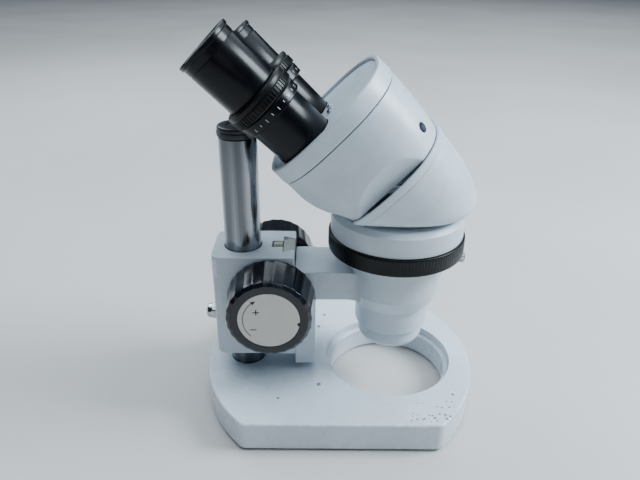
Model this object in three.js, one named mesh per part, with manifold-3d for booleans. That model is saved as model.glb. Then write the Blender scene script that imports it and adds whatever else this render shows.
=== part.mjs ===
// Stereo microscope on a pole stand. Millimetres, +Z up, +X from the pole to the stage.
// The origin is on the table under the middle of the base plate; Y = 0 is the plane of symmetry.
import * as THREE from 'three';
import { mergeVertices } from 'three/addons/utils/BufferGeometryUtils.js';
import Module from 'manifold-3d';

const wasm = await Module();
wasm.setup();

// ---------------------------------------------------------------- driving dimensions
const GAP = 0.3;                    // clearance kept between any two pieces
const RUNNING = 0.1;                // radial clearance of what slides or turns in a bore
const BASE = {
  halfX: 100.5, halfY: 77.2, top: 23.8, bottom: 1.5, endR: 107.5, cornerR: 8, edge: 1.5, wall: 8, floor: 7,
};
const STAGE = { x: 37.7, r: 47.5, holeR: 44, ledge: 6, rib: 5 };   // opening for a 95 mm stage plate
const CLIP_HOLE = { x: -16, y: 36, r: 1.6, depth: 5 };           // threaded holes for the stage clips
const FOOT = { x: 80, y: 46, r: 8, seat: 2, boss: 12 };
const POLE = { x: -70, r: 12.7, bottom: 10, top: 199.3, boreR: 8.3, boreDepth: 12, rib: 8 };
const CAP = { r: 13.6, height: 7, chamfer: 2 };
const BOLT = { r: 4, headR: 6.5, headBottom: 1.8, headTop: 6.7, top: 26 };
const BLOCK = { x0: -90.5, x1: -33.3, halfY: 21.5, bottom: 39.8, top: 119.8, cornerR: 7 };
const LINER = { r: 14.2, bottom: 76, top: 114, split: 2 };
const CLAMP = { z: 63.3, shankR: 3, headR: 6.2, tip: -100.2 };
const SLOT = { x: -41.3, wideY: 12, narrowY: 8, pocketX: -49.6, pocketY: 4.8 };
const PINION = { x: -49.15, z: 88.3, shaftR: 3, pitchR: 5.6, teeth: 14, halfLength: 4 };
const TOOTH = { up: 0.7, down: 1, rootShare: 0.24, tipShare: 0.1, play: 0.1 };   // shares are of one pitch
const RACK = { teeth: 19, below: 16 };   // teeth in all, and how many start below the pinion
const BUSH = { r: 6, length: 8 };
const WASHER = { r: 8.5, thickness: 1.7 };
const KNOB = {
  r: 28.7, backR: 31.2, inner: 22.4, outer: 49.95, hubR: 9, hubFrom: 2.4, wallR: 21, recess: 14,
  plateR: 20.7, plate: 1, notchR: 1.6, notchTurn: 8, shaftEnd: 4,
};
const CARRIAGE = { x0: -33, x1: -18.5, halfY: 20, bottom: 30.3, top: 107.8 };
const DOVETAIL = { bottom: 42, top: 119.5 };
const ARM = { bottom: 85.7, halfY: 19.5 };
const HOLDER = {
  lipR: 27, boreR: 31, lipTop: 84, bottom: 79.9, bottomR: 29.4, waist: 90.4, waistR: 33.8, top: 119.8,
  topR: 36,
};
const HEADSCREW = { z: 110.5, shankR: 2, headR: 3.8, inner: 36.9, outer: 50.2 };
const BARREL = { r: 30.6, shoulderR: 39.4, noseR: 26.3, wall: 3 };
const NOSE = { r: 23.6, boreR: 19, bottom: 47.1, top: 60, chamfer: 3 };
const BEAM = { y: 9.6, lean: 3.3 };      // the two light paths lean apart going up
const CELL = { bottom: 62, length: 22, r: 8, lensR: 7.4, seat: 3.5, ledge: 1.6 };
const LENSES = { r: 20, bottom: 92, top: 100, holeR: 7, y: 11.6 };   // zoom lens carriage
const ROD = { r: 1.5, x: 16.5, bottom: 86, top: 131 };
const CAM = { r: 22.6, boreR: 21, bottom: 104, top: 131, slotHalf: 3, slotFrom: 108, slotTo: 126 };
const ZOOM = { r: 47.5, bottom: 120.4, top: 132.6, edge: 0.8 };
const NECK = { r: 45.9, boreR: 24, bottom: 132.9, rim: 146.2, top: 149.6, topR: 42.5 };
const HEAD = {
  x: -14.7, z: 214.9, tilt: 45.5, halfT: 47.5, halfY: 45.5, power: 2.6, soften: 0.3, straight: 30,
  wall: 2.4, floor: 151.2, floorWall: 2.8,
};
const RIM = { depth: 11.5, lip: 2.6, recess: 2, plate: 2.5 };
const LIP = { n: -58, width: 4.4, proud: 1.3, flange: 1.3 };
// The shallow flat on each side of the upper shell: a point of its plane, and its slopes along t and n.
const FLANK = { t: 4.5, y: 43.14, n: -50, slopeT: -0.07, slopeN: 0.225, size: [70, 20, 60] };
const PLUG = { t: 41.5, n: -43.5, r: 2.7, from: -3.2, to: -0.6 };
const FACE_SCREW = { t: 4.5, y: 6, r: 2.1, height: 1.2 };
const PRISM = { t: -2, y: 17, n: -41, size: [24, 22, 26] };
const PIVOT = { x: -18, z: 150 };   // edge about which the sections of the lower shell fan out
const TUBE = {
  t: -16.5, y: 22.2, yaw: 3.3, r: 18.6, boreR: 16.6, bottom: -14, scaleFrom: 25.5, scaleTo: 32.5,
  scaleR: 21.4,
};
const DIOPTER = { from: 32.8, to: 42.3, r: 22.4, boreR: 18.5 };
const EYEPIECE = {
  r: 18.1, sleeveR: 16.2, lipR: 19, lip: 3, top: 72, bottom: 2, boreR: 14.5, barrelFrom: 33, nearRise: 9.2,
  eyeLens: 8, fieldLens: 10,
};
const SWING = { t: 14, y: 12, holes: [0, 1.4, 2.8] };   // eye tube pivots, and the angles its hole is cut at

const SEG = 28;                     // sides of an ordinary round part
const FINE = 40;                    // sides of the widest round parts
const SMALL = 16;
const AROUND = 28;                  // points round a section of the head
const PAINT = 0xc3ccd3;
const BLACK = 0x15171b;
const RUBBER = 0x1b1b1b;
const CHROME = 0xb9bcc0;
const STEEL = 0x8c8f92;
const BRASS = 0xb08d45;
const GLASS = 0x8fa6b4;
const SILVER = 0xb9b2a8;
const NYLON = 0xd8d8d0;
const NAVY = 0x1c2f52;

// ---------------------------------------------------------------- helpers
const rad = (deg) => (deg * Math.PI) / 180;

// A closed surface as a solid, with its doubled vertices and empty triangles taken out.
function solid(geometry) {
  const bare = geometry.clone();
  bare.deleteAttribute('normal');
  bare.deleteAttribute('uv');
  const merged = mergeVertices(bare, 1e-4);
  const vertProperties = new Float32Array(merged.attributes.position.array);
  const corners = [];
  for (let i = 0; i < merged.index.count; i += 3) {
    const [a, b, c] = merged.index.array.subarray(i, i + 3);
    if (a !== b && b !== c && c !== a) corners.push(a, b, c);
  }
  return new wasm.Manifold(new wasm.Mesh({ numProp: 3, vertProperties, triVerts: new Uint32Array(corners) }));
}

// The same for an indexed surface whose triangles may all be wound the wrong way.
function outward(geometry) {
  const manifold = solid(geometry);
  if (manifold.volume() > 0) return manifold;
  const reversed = geometry.clone();
  reversed.setIndex(Array.from(geometry.index.array).reverse());
  return solid(reversed);
}

function geometryOf(manifold) {
  const { vertProperties, triVerts } = manifold.getMesh();
  const geometry = new THREE.BufferGeometry();
  geometry.setAttribute('position', new THREE.BufferAttribute(new Float32Array(vertProperties), 3));
  geometry.setIndex(new THREE.BufferAttribute(new Uint32Array(triVerts), 1));
  geometry.computeVertexNormals();
  return geometry;
}

// A cylinder, cone or ring about +Z from z0 to z1, moved to (x, y).
function disc(r, z0, z1, x = 0, y = 0, seg = SEG, topR = r) {
  const geometry = new THREE.CylinderGeometry(topR, r, z1 - z0, seg);
  geometry.rotateX(Math.PI / 2);
  geometry.translate(x, y, (z0 + z1) / 2);
  return solid(geometry);
}

// A cylinder whose axis is X or Y, between two places on that axis.
function bar(axis, r, from, to, a, b, seg = SMALL) {
  const geometry = new THREE.CylinderGeometry(r, r, Math.abs(to - from), seg);
  if (axis === 'x') {
    geometry.rotateZ(-Math.PI / 2);
    geometry.translate((from + to) / 2, a, b);
  } else {
    geometry.translate(a, (from + to) / 2, b);
  }
  return solid(geometry);
}

function box(x0, x1, y0, y1, z0, z1) {
  const geometry = new THREE.BoxGeometry(x1 - x0, y1 - y0, z1 - z0);
  geometry.translate((x0 + x1) / 2, (y0 + y1) / 2, (z0 + z1) / 2);
  return solid(geometry);
}

// A body of revolution about +Z; the profile is a list of [radius, z], closed on itself or on the axis.
function turned(profile, seg = SEG) {
  const points = profile.map(([r, z]) => new THREE.Vector2(r, z));
  if (profile.at(-1)[0] > 0) points.push(points[0].clone());
  const geometry = new THREE.LatheGeometry(points, seg);
  geometry.rotateX(Math.PI / 2);
  return outward(geometry);
}

function prism(shape, z0, z1, curveSegments = 12) {
  const geometry = new THREE.ExtrudeGeometry(shape, { depth: z1 - z0, bevelEnabled: false, curveSegments });
  geometry.translate(0, 0, z0);
  return solid(geometry);
}

function polygon(points) {
  return new THREE.Shape(points.map(([x, y]) => new THREE.Vector2(x, y)));
}

function moved(manifold, matrix) {
  return manifold.transform(matrix.toArray());
}

const model = new THREE.Group();

function place(name, manifold, color, roughness, metalness = 0) {
  const material = new THREE.MeshStandardMaterial({ color, roughness, metalness });
  const mesh = new THREE.Mesh(geometryOf(manifold), material);
  mesh.name = name;
  model.add(mesh);
}

// ---------------------------------------------------------------- base plate
// Straight long sides and shallow curved ends, with the corners between them rounded.
function plateShape(inset) {
  const r = BASE.endR - inset;
  const centre = BASE.halfX - BASE.endR;
  const side = BASE.halfY - inset;
  const corner = Math.max(BASE.cornerR - inset * 0.5, 3);
  const cy = side - corner;
  const cx = Math.sqrt((r - corner) ** 2 - cy ** 2);
  const turn = Math.atan2(cy, cx);
  const shape = new THREE.Shape();
  shape.moveTo(-(centre + cx), -side);
  shape.absarc(centre + cx, -cy, corner, -Math.PI / 2, -turn, false);
  shape.absarc(centre, 0, r, -turn, turn, false);
  shape.absarc(centre + cx, cy, corner, turn, Math.PI / 2, false);
  shape.absarc(-(centre + cx), cy, corner, Math.PI / 2, Math.PI - turn, false);
  shape.absarc(-centre, 0, r, Math.PI - turn, Math.PI + turn, false);
  shape.absarc(-(centre + cx), -cy, corner, Math.PI + turn, Math.PI * 1.5, false);
  return shape;
}

const footSpots = [];
for (const x of [-FOOT.x, FOOT.x]) for (const y of [-FOOT.y, FOOT.y]) footSpots.push([x, y]);
const WHOLE = 400;                  // longer than anything here, for cutting right through

function basePlate() {
  const body = new THREE.ExtrudeGeometry(plateShape(BASE.edge), {
    depth: BASE.top - BASE.bottom - 2 * BASE.edge, bevelEnabled: true,
    bevelThickness: BASE.edge, bevelSize: BASE.edge, bevelSegments: 1, curveSegments: 7,
  });
  body.translate(0, 0, BASE.bottom + BASE.edge);
  const below = -WHOLE;
  let under = prism(plateShape(BASE.wall), 0, BASE.top - BASE.floor, 4);
  under = under.subtract(disc(STAGE.r + STAGE.rib, below, WHOLE, STAGE.x, 0));
  under = under.subtract(disc(POLE.r + POLE.rib, below, WHOLE, POLE.x, 0, SMALL));
  for (const [x, y] of footSpots) under = under.subtract(disc(FOOT.boss, below, WHOLE, x, y, SMALL));
  let base = solid(body).subtract(under);
  base = base.subtract(disc(STAGE.holeR, below, WHOLE, STAGE.x, 0, FINE));
  base = base.subtract(disc(STAGE.r, BASE.top - STAGE.ledge, WHOLE, STAGE.x, 0, FINE));
  base = base.subtract(disc(POLE.r + GAP, POLE.bottom - GAP, WHOLE, POLE.x, 0));
  base = base.subtract(disc(BOLT.r + GAP, below, WHOLE, POLE.x, 0, SMALL));
  base = base.subtract(disc(BOLT.headR + GAP, below, BOLT.headTop + GAP, POLE.x, 0, SMALL));
  for (const [x, y] of footSpots) {
    base = base.subtract(disc(FOOT.r + GAP, below, BASE.bottom + FOOT.seat + GAP, x, y, SMALL));
  }
  for (const y of [-CLIP_HOLE.y, CLIP_HOLE.y]) {
    base = base.subtract(disc(CLIP_HOLE.r, BASE.top - CLIP_HOLE.depth, WHOLE, CLIP_HOLE.x, y, 12));
  }
  return base;
}

function buildStand() {
  place('base', basePlate(), PAINT, 0.45);
  const names = ['foot_back_near', 'foot_back_far', 'foot_front_near', 'foot_front_far'];
  footSpots.forEach(([x, y], i) => {
    place(names[i], disc(FOOT.r, 0, BASE.bottom + FOOT.seat, x, y, SMALL), RUBBER, 0.9);
  });
  const pole = disc(POLE.r, POLE.bottom, POLE.top, POLE.x, 0)
    .subtract(disc(BOLT.r + GAP, 0, BOLT.top + 1, POLE.x, 0, SMALL))
    .subtract(disc(POLE.boreR, POLE.top - POLE.boreDepth, WHOLE, POLE.x, 0, SMALL));
  place('pole', pole, CHROME, 0.22, 1);
  const cap = turned([
    [0, POLE.top + GAP], [0, POLE.top + CAP.height], [CAP.r - CAP.chamfer, POLE.top + CAP.height],
    [CAP.r, POLE.top + CAP.height - CAP.chamfer], [CAP.r, POLE.top + GAP],
  ]).add(disc(POLE.boreR - GAP, POLE.top - POLE.boreDepth + 1, POLE.top + 1, 0, 0, SMALL));
  place('pole_cap', cap.translate([POLE.x, 0, 0]), BLACK, 0.35);
  const bolt = disc(BOLT.headR, BOLT.headBottom, BOLT.headTop, POLE.x, 0, 6)
    .add(disc(BOLT.r, BOLT.headTop - 1, BOLT.top, POLE.x, 0, SMALL));
  place('pole_bolt', bolt, STEEL, 0.4, 1);
}

// ---------------------------------------------------------------- focus block
function blockShape() {
  const { x0, x1, halfY, cornerR } = BLOCK;
  const shape = new THREE.Shape();
  shape.moveTo(x1, -halfY);
  shape.lineTo(x1, halfY);
  shape.lineTo(x0 + cornerR, halfY);
  shape.absarc(x0 + cornerR, halfY - cornerR, cornerR, Math.PI / 2, Math.PI, false);
  shape.absarc(x0 + cornerR, -halfY + cornerR, cornerR, Math.PI, Math.PI * 1.5, false);
  return shape;
}

function dovetailShape(grow) {
  const mouth = BLOCK.x1 + 1;
  const slope = (SLOT.wideY - SLOT.narrowY) / (BLOCK.x1 - SLOT.x);
  const narrow = SLOT.narrowY - slope;
  return polygon([
    [SLOT.x - grow, -SLOT.wideY - grow], [mouth, -narrow - grow],
    [mouth, narrow + grow], [SLOT.x - grow, SLOT.wideY + grow],
  ]);
}

function focusBlock() {
  let block = prism(blockShape(), BLOCK.bottom, BLOCK.top, 6);
  block = block.subtract(disc(POLE.r + GAP, 0, WHOLE, POLE.x, 0));
  block = block.subtract(disc(LINER.r + GAP, LINER.bottom - GAP, LINER.top + GAP, POLE.x, 0));
  block = block.subtract(prism(dovetailShape(GAP), 0, WHOLE));
  block = block.subtract(box(SLOT.pocketX, SLOT.x + 1, -SLOT.pocketY, SLOT.pocketY, 0, WHOLE));
  const gearSpace = PINION.pitchR + TOOTH.up + 3 * GAP;
  const half = PINION.halfLength + 1;
  block = block.subtract(bar('y', gearSpace, -half, half, PINION.x, PINION.z, SEG));
  block = block.subtract(bar('y', PINION.shaftR + GAP, -KNOB.inner, KNOB.inner, PINION.x, PINION.z));
  for (const side of [-1, 1]) {
    const from = side * (BLOCK.halfY - BUSH.length - GAP);
    block = block.subtract(bar('y', BUSH.r + GAP, from, side * KNOB.inner, PINION.x, PINION.z));
  }
  return block.subtract(bar('x', CLAMP.shankR + GAP, BLOCK.x0 - 1, POLE.x, 0, CLAMP.z));
}

function poleClampScrew() {
  const neckEnd = BLOCK.x0 - GAP;
  const tall = neckEnd - CLAMP.tip;
  const head = turned([
    [0, 0], [CLAMP.headR, 0], [CLAMP.headR, tall * 0.57], [CLAMP.headR * 0.75, tall * 0.87],
    [CLAMP.headR * 0.4, tall], [0, tall],
  ], 20);
  const turn = new THREE.Matrix4().makeRotationY(-Math.PI / 2);
  turn.setPosition(neckEnd, 0, CLAMP.z);
  const shankTip = POLE.x - POLE.r - GAP;
  return moved(head, turn).add(bar('x', CLAMP.shankR, neckEnd - 1, shankTip, 0, CLAMP.z));
}

// Teeth are slim trapezoids, so the pair runs with a little play.
function pinionShaft() {
  const pitch = (2 * Math.PI) / PINION.teeth;
  const tipR = PINION.pitchR + TOOTH.up;
  const rootR = PINION.pitchR - TOOTH.down;
  const { rootShare, tipShare } = TOOTH;
  const points = [];
  for (let i = 0; i < PINION.teeth; i += 1) {
    const middle = (i + 0.5) * pitch;
    for (const [part, r] of [[-rootShare, rootR], [-tipShare, tipR], [tipShare, tipR], [rootShare, rootR]]) {
      const angle = middle + part * pitch;
      points.push([r * Math.cos(angle), r * Math.sin(angle)]);
    }
  }
  const gear = prism(polygon(points), -PINION.halfLength, PINION.halfLength, 1);
  const end = KNOB.outer - KNOB.shaftEnd;
  const upright = gear.add(disc(PINION.shaftR, -end, end, 0, 0, SMALL));
  const lay = new THREE.Matrix4().makeRotationX(Math.PI / 2);
  lay.setPosition(PINION.x, 0, PINION.z);
  return moved(upright, lay);
}

function rack() {
  const pitch = (2 * Math.PI * PINION.pitchR) / PINION.teeth;
  const pitchX = PINION.x + PINION.pitchR;
  const tipX = pitchX - TOOTH.up + TOOTH.play;
  const rootX = pitchX + TOOTH.down;
  const back = SLOT.x - 2 * GAP;
  const front = SLOT.pocketX + 4 * GAP;
  const first = PINION.z - RACK.below * pitch;
  const stop = first + (RACK.teeth + 0.2) * pitch;   // the solid end above the teeth
  const root = TOOTH.rootShare * pitch;
  const tip = TOOTH.tipShare * pitch;
  const points = [[back, DOVETAIL.bottom], [back, DOVETAIL.top], [front, DOVETAIL.top], [front, stop]];
  points.push([rootX, stop]);
  for (let i = RACK.teeth - 1; i >= 0; i -= 1) {
    const z = first + i * pitch;
    points.push([rootX, z + root], [tipX, z + tip], [tipX, z - tip], [rootX, z - root]);
  }
  points.push([rootX, DOVETAIL.bottom]);
  const flat = prism(polygon(points), -PINION.halfLength, PINION.halfLength, 1);
  const stand = new THREE.Matrix4().makeRotationX(Math.PI / 2);
  return moved(flat, stand);
}

function knob(side) {
  const depth = KNOB.outer - KNOB.inner;
  let body = turned([
    [0, 0], [KNOB.backR - 1, 0], [KNOB.backR, 1], [KNOB.r, depth - 2.4], [KNOB.r - 2.6, depth], [0, depth],
  ], 32);
  body = body.subtract(disc(KNOB.wallR, -1, KNOB.recess, 0, 0, 24));
  body = body.add(disc(KNOB.hubR, KNOB.hubFrom, KNOB.recess + 1, 0, 0, SMALL));
  body = body.subtract(disc(KNOB.plateR + GAP, depth - KNOB.plate - GAP, depth + 1, 0, 0));
  body = body.subtract(disc(PINION.shaftR + GAP, -1, depth - KNOB.shaftEnd + GAP, 0, 0, SMALL));
  const lay = new THREE.Matrix4().makeRotationX(side * -Math.PI / 2);
  lay.setPosition(PINION.x, side * KNOB.inner, PINION.z);
  return moved(body, lay);
}

function knobPlate(side) {
  const turn = rad(KNOB.notchTurn);
  const x = -side * KNOB.plateR * Math.cos(turn);
  const notch = disc(KNOB.notchR, -1, 3, x, KNOB.plateR * Math.sin(turn), 12);
  const plate = disc(KNOB.plateR, 0, KNOB.plate, 0, 0).subtract(notch);
  const lay = new THREE.Matrix4().makeRotationX(side * -Math.PI / 2);
  lay.setPosition(PINION.x, side * (KNOB.outer - KNOB.plate), PINION.z);
  return moved(plate, lay);
}

function buildFocus() {
  place('focus_block', focusBlock(), PAINT, 0.45);
  const liner = disc(LINER.r, LINER.bottom, LINER.top, POLE.x, 0)
    .subtract(disc(POLE.r + RUNNING, 0, WHOLE, POLE.x, 0))
    .subtract(box(POLE.x - 2 * LINER.r, POLE.x, -LINER.split / 2, LINER.split / 2, 0, WHOLE));
  place('pole_liner', liner, NYLON, 0.5);
  place('pole_clamp_screw', poleClampScrew(), CHROME, 0.15, 1);
  place('pinion_shaft', pinionShaft(), STEEL, 0.35, 1);
  const shaftHole = bar('y', PINION.shaftR + RUNNING, -KNOB.inner, KNOB.inner, PINION.x, PINION.z);
  for (const [name, side] of [['shaft_bush_near', -1], ['shaft_bush_far', 1]]) {
    const bush = bar('y', BUSH.r, side * (BLOCK.halfY - BUSH.length), side * BLOCK.halfY, PINION.x, PINION.z);
    place(name, bush.subtract(shaftHole), BRASS, 0.4, 1);
  }
  const washerY = -BLOCK.halfY - GAP;
  const washer = bar('y', WASHER.r, washerY - WASHER.thickness, washerY, PINION.x, PINION.z);
  const washerHole = bar('y', PINION.shaftR + GAP, -WHOLE, 0, PINION.x, PINION.z);
  place('tension_washer', washer.subtract(washerHole), STEEL, 0.4, 1);
  for (const [name, side] of [['near', -1], ['far', 1]]) {
    place(`${name}_knob`, knob(side), BLACK, 0.4);
    place(`${name}_knob_plate`, knobPlate(side), SILVER, 0.4, 0.6);
  }
  place('rack', rack(), BRASS, 0.4, 0.8);
  const dovetail = prism(dovetailShape(-RUNNING / 2), DOVETAIL.bottom, DOVETAIL.top)
    .subtract(box(BLOCK.x1 - GAP, 0, -BLOCK.halfY, BLOCK.halfY, 0, WHOLE));
  place('dovetail_bar', dovetail, STEEL, 0.4, 0.9);
}

// ---------------------------------------------------------------- carriage, arm and holder ring
function carriageArm() {
  const { x0, x1, halfY, bottom, top } = CARRIAGE;
  let body = box(x0, x1, -halfY, halfY, bottom, top);
  body = body.add(box(x1 - 1, STAGE.x, -ARM.halfY, ARM.halfY, ARM.bottom, top));
  const boss = turned([
    [0, HOLDER.bottom], [HOLDER.bottomR, HOLDER.bottom], [HOLDER.waistR, HOLDER.waist],
    [HOLDER.topR, HOLDER.top], [0, HOLDER.top],
  ], FINE).translate([STAGE.x, 0, 0]);
  body = body.add(boss);
  body = body.subtract(disc(HOLDER.boreR, HOLDER.lipTop, WHOLE, STAGE.x, 0));
  body = body.subtract(disc(HOLDER.lipR, 0, WHOLE, STAGE.x, 0));
  return body.subtract(bar('x', HEADSCREW.shankR + GAP, STAGE.x, STAGE.x + 2 * HOLDER.topR, 0, HEADSCREW.z));
}

function headClampScrew() {
  const x = (r) => STAGE.x + r;
  return bar('x', HEADSCREW.shankR, x(BARREL.r + GAP), x(HEADSCREW.inner + 1), 0, HEADSCREW.z)
    .add(bar('x', HEADSCREW.headR, x(HEADSCREW.inner), x(HEADSCREW.outer), 0, HEADSCREW.z));
}

// ---------------------------------------------------------------- optics below the head
function opticsBarrel() {
  const outer = turned([
    [0, NOSE.top + GAP], [BARREL.noseR, NOSE.top + GAP], [BARREL.noseR, HOLDER.lipTop + GAP],
    [BARREL.r, HOLDER.lipTop + GAP], [BARREL.r, HOLDER.top + GAP], [BARREL.shoulderR, HOLDER.top + GAP],
    [BARREL.shoulderR, NECK.bottom - GAP], [0, NECK.bottom - GAP],
  ]);
  return outer.subtract(disc(BARREL.noseR - BARREL.wall, 0, WHOLE, 0, 0)).translate([STAGE.x, 0, 0]);
}

function noseRing() {
  return turned([
    [NOSE.boreR, NOSE.bottom], [NOSE.r - NOSE.chamfer * 0.7, NOSE.bottom],
    [NOSE.r, NOSE.bottom + NOSE.chamfer], [NOSE.r, NOSE.top], [NOSE.boreR, NOSE.top],
  ]).translate([STAGE.x, 0, 0]);
}

function beamMatrix(side) {
  const matrix = new THREE.Matrix4().makeRotationX(-side * rad(BEAM.lean));
  return matrix.setPosition(STAGE.x, side * BEAM.y, CELL.bottom);
}

function objectiveCell() {
  return disc(CELL.r, 0, CELL.length, 0, 0, SMALL)
    .subtract(disc(CELL.lensR - CELL.ledge, -1, WHOLE, 0, 0, SMALL))
    .subtract(disc(CELL.lensR, -1, CELL.seat, 0, 0, SMALL));
}

function objectiveLens() {
  const r = CELL.lensR - GAP;
  const top = CELL.seat - GAP;
  return turned([[0, 0.4], [r, 1.1], [r, top], [0, top]], SMALL);
}

function zoomLensCarriage() {
  let plate = disc(LENSES.r, LENSES.bottom, LENSES.top, 0, 0);
  for (const side of [-1, 1]) {
    plate = plate.subtract(disc(LENSES.holeR, 0, WHOLE, 0, side * LENSES.y, SMALL));
    plate = plate.subtract(disc(ROD.r + GAP, 0, WHOLE, side * ROD.x, 0, 12));
  }
  return plate.translate([STAGE.x, 0, 0]);
}

function buildOptics() {
  place('optics_barrel', opticsBarrel(), PAINT, 0.45);
  place('nose_ring', noseRing(), PAINT, 0.45);
  for (const [name, side] of [['near', -1], ['far', 1]]) {
    place(`${name}_objective_cell`, moved(objectiveCell(), beamMatrix(side)), BLACK, 0.5);
    place(`${name}_objective_lens`, moved(objectiveLens(), beamMatrix(side)), GLASS, 0.05);
  }
  place('zoom_lens_carriage', zoomLensCarriage(), BLACK, 0.5, 0.4);
  for (const [name, side] of [['back', -1], ['front', 1]]) {
    const rod = disc(ROD.r, ROD.bottom, ROD.top, STAGE.x + side * ROD.x, 0, 12);
    place(`zoom_rod_${name}`, rod, CHROME, 0.25, 1);
  }
  const cam = disc(CAM.r, CAM.bottom, CAM.top, STAGE.x, 0)
    .subtract(disc(CAM.boreR, 0, WHOLE, STAGE.x, 0))
    .subtract(box(STAGE.x - CAM.slotHalf, STAGE.x + CAM.slotHalf, -2 * CAM.r, 0, CAM.slotFrom, CAM.slotTo));
  place('zoom_cam_sleeve', cam, STEEL, 0.4, 0.9);
  const ring = turned([
    [BARREL.shoulderR + GAP, ZOOM.bottom], [ZOOM.r - ZOOM.edge, ZOOM.bottom],
    [ZOOM.r, ZOOM.bottom + ZOOM.edge], [ZOOM.r, ZOOM.top - ZOOM.edge], [ZOOM.r - ZOOM.edge, ZOOM.top],
    [BARREL.shoulderR + GAP, ZOOM.top],
  ], FINE);
  place('zoom_ring', ring.translate([STAGE.x, 0, 0]), BLACK, 0.5);
}

// ---------------------------------------------------------------- head shells
// Head directions: n points out of the face plate, t points up its slope.
const tilt = rad(HEAD.tilt);
const N = new THREE.Vector3(-Math.sin(tilt), 0, Math.cos(tilt));
const T = new THREE.Vector3(Math.cos(tilt), 0, Math.sin(tilt));
const O = new THREE.Vector3(HEAD.x, 0, HEAD.z);

function headMatrix() {
  const matrix = new THREE.Matrix4().makeBasis(T, new THREE.Vector3(0, 1, 0), N);
  return matrix.setPosition(O);
}

// One cross-section: a rounded outline in the plane through origin with directions u and +Y.
function section(origin, u, from, to, halfY, power) {
  const points = [];
  const half = (to - from) / 2;
  const middle = (to + from) / 2;
  for (let i = 0; i < AROUND; i += 1) {
    const angle = (i / AROUND) * 2 * Math.PI;
    const c = Math.cos(angle);
    const s = Math.sin(angle);
    const a = middle + half * Math.sign(c) * Math.abs(c) ** (2 / power);
    const y = halfY * Math.sign(s) * Math.abs(s) ** (2 / power);
    points.push(new THREE.Vector3().copy(origin).addScaledVector(u, a).setY(y));
  }
  return points;
}

// A closed solid through a list of sections with equal point counts.
function loft(sections) {
  const count = sections[0].length;
  const positions = [];
  const index = [];
  sections.forEach((points) => points.forEach((p) => positions.push(p.x, p.y, p.z)));
  for (let k = 0; k + 1 < sections.length; k += 1) {
    for (let i = 0; i < count; i += 1) {
      const j = (i + 1) % count;
      const [a, b, c, d] = [k * count + i, k * count + j, (k + 1) * count + j, (k + 1) * count + i];
      index.push(a, b, c, a, c, d);
    }
  }
  for (const [k, flip] of [[0, true], [sections.length - 1, false]]) {
    const centre = positions.length / 3;
    const sum = sections[k].reduce((total, p) => total.add(p), new THREE.Vector3()).divideScalar(count);
    positions.push(sum.x, sum.y, sum.z);
    for (let i = 0; i < count; i += 1) {
      const [a, b] = [k * count + i, k * count + ((i + 1) % count)];
      index.push(...(flip ? [centre, b, a] : [centre, a, b]));
    }
  }
  const geometry = new THREE.BufferGeometry();
  geometry.setAttribute('position', new THREE.Float32BufferAttribute(positions, 3));
  geometry.setIndex(index);
  return outward(geometry);
}

// The reach of the lower shell from the pivot edge, as its section turns from the lip down to the neck.
const FAN = [
  { turn: 1, reach: 95, near: 4, halfY: 45.5 }, { turn: 0.8, reach: 94.6, near: 5, halfY: 45.6 },
  { turn: 0.62, reach: 97.4, near: 6, halfY: 45.8 }, { turn: 0.44, reach: 101.6, near: 7, halfY: 46 },
  { turn: 0.28, reach: 105, near: 8, halfY: 46 }, { turn: 0.14, reach: 107, near: 9, halfY: 45.4 },
  { turn: 0.03, reach: 106, near: 10.5, halfY: 43.6 }, { turn: 0, reach: 103.6, near: 12, halfY: 41.8 },
];

// The outline of the face, drawn in by inset, at the distance n out of the face.
function faceOutline(inset, n) {
  const { halfT, halfY, power } = HEAD;
  return section(O.clone().addScaledVector(N, n), T, inset - halfT, halfT - inset, halfY - inset, power);
}

// The whole head from the face plane (or n = top) down to its floor, drawn in by inset.
function headBody(inset, top) {
  const sections = [faceOutline(inset, top), faceOutline(inset, -HEAD.straight)];
  const pivot = new THREE.Vector3(PIVOT.x, 0, PIVOT.z);
  for (const { turn, reach, near, halfY } of FAN) {
    const angle = tilt * turn;
    const u = new THREE.Vector3(Math.cos(angle), 0, Math.sin(angle));
    const power = HEAD.power - HEAD.soften * (1 - turn);
    sections.push(section(pivot, u, near + inset, reach - inset, halfY - inset, power));
  }
  return loft(sections);
}

// Everything between two planes parallel to the face.
function slab(n0, n1) {
  const geometry = new THREE.BoxGeometry(WHOLE, WHOLE, n1 - n0);
  geometry.translate(0, 0, (n0 + n1) / 2);
  return moved(solid(geometry), headMatrix());
}

function rimOutline(inset, n0, n1) {
  return loft([faceOutline(inset, n1), faceOutline(inset, n0)]);
}

// What is cut from the flank of the upper shell; deeper moves the flat further in.
function flankCut(side, deeper) {
  const { t, y, n, slopeT, slopeN, size } = FLANK;
  const outward = new THREE.Vector3(-slopeT, side, -slopeN).normalize();
  const turn = new THREE.Quaternion().setFromUnitVectors(new THREE.Vector3(0, side, 0), outward);
  const centre = new THREE.Vector3(t, side * y, n).addScaledVector(outward, size[1] / 2 - deeper);
  const matrix = new THREE.Matrix4().compose(centre, turn, new THREE.Vector3(1, 1, 1));
  return moved(moved(solid(new THREE.BoxGeometry(...size)), matrix), headMatrix());
}

// An eye tube's own frame: +Z runs out along the tube from the face plane.
function tubeMatrix(side) {
  const matrix = new THREE.Matrix4().makeRotationX(-side * rad(TUBE.yaw));
  matrix.setPosition(TUBE.t, side * TUBE.y, 0);
  return new THREE.Matrix4().multiplyMatrices(headMatrix(), matrix);
}

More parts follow.
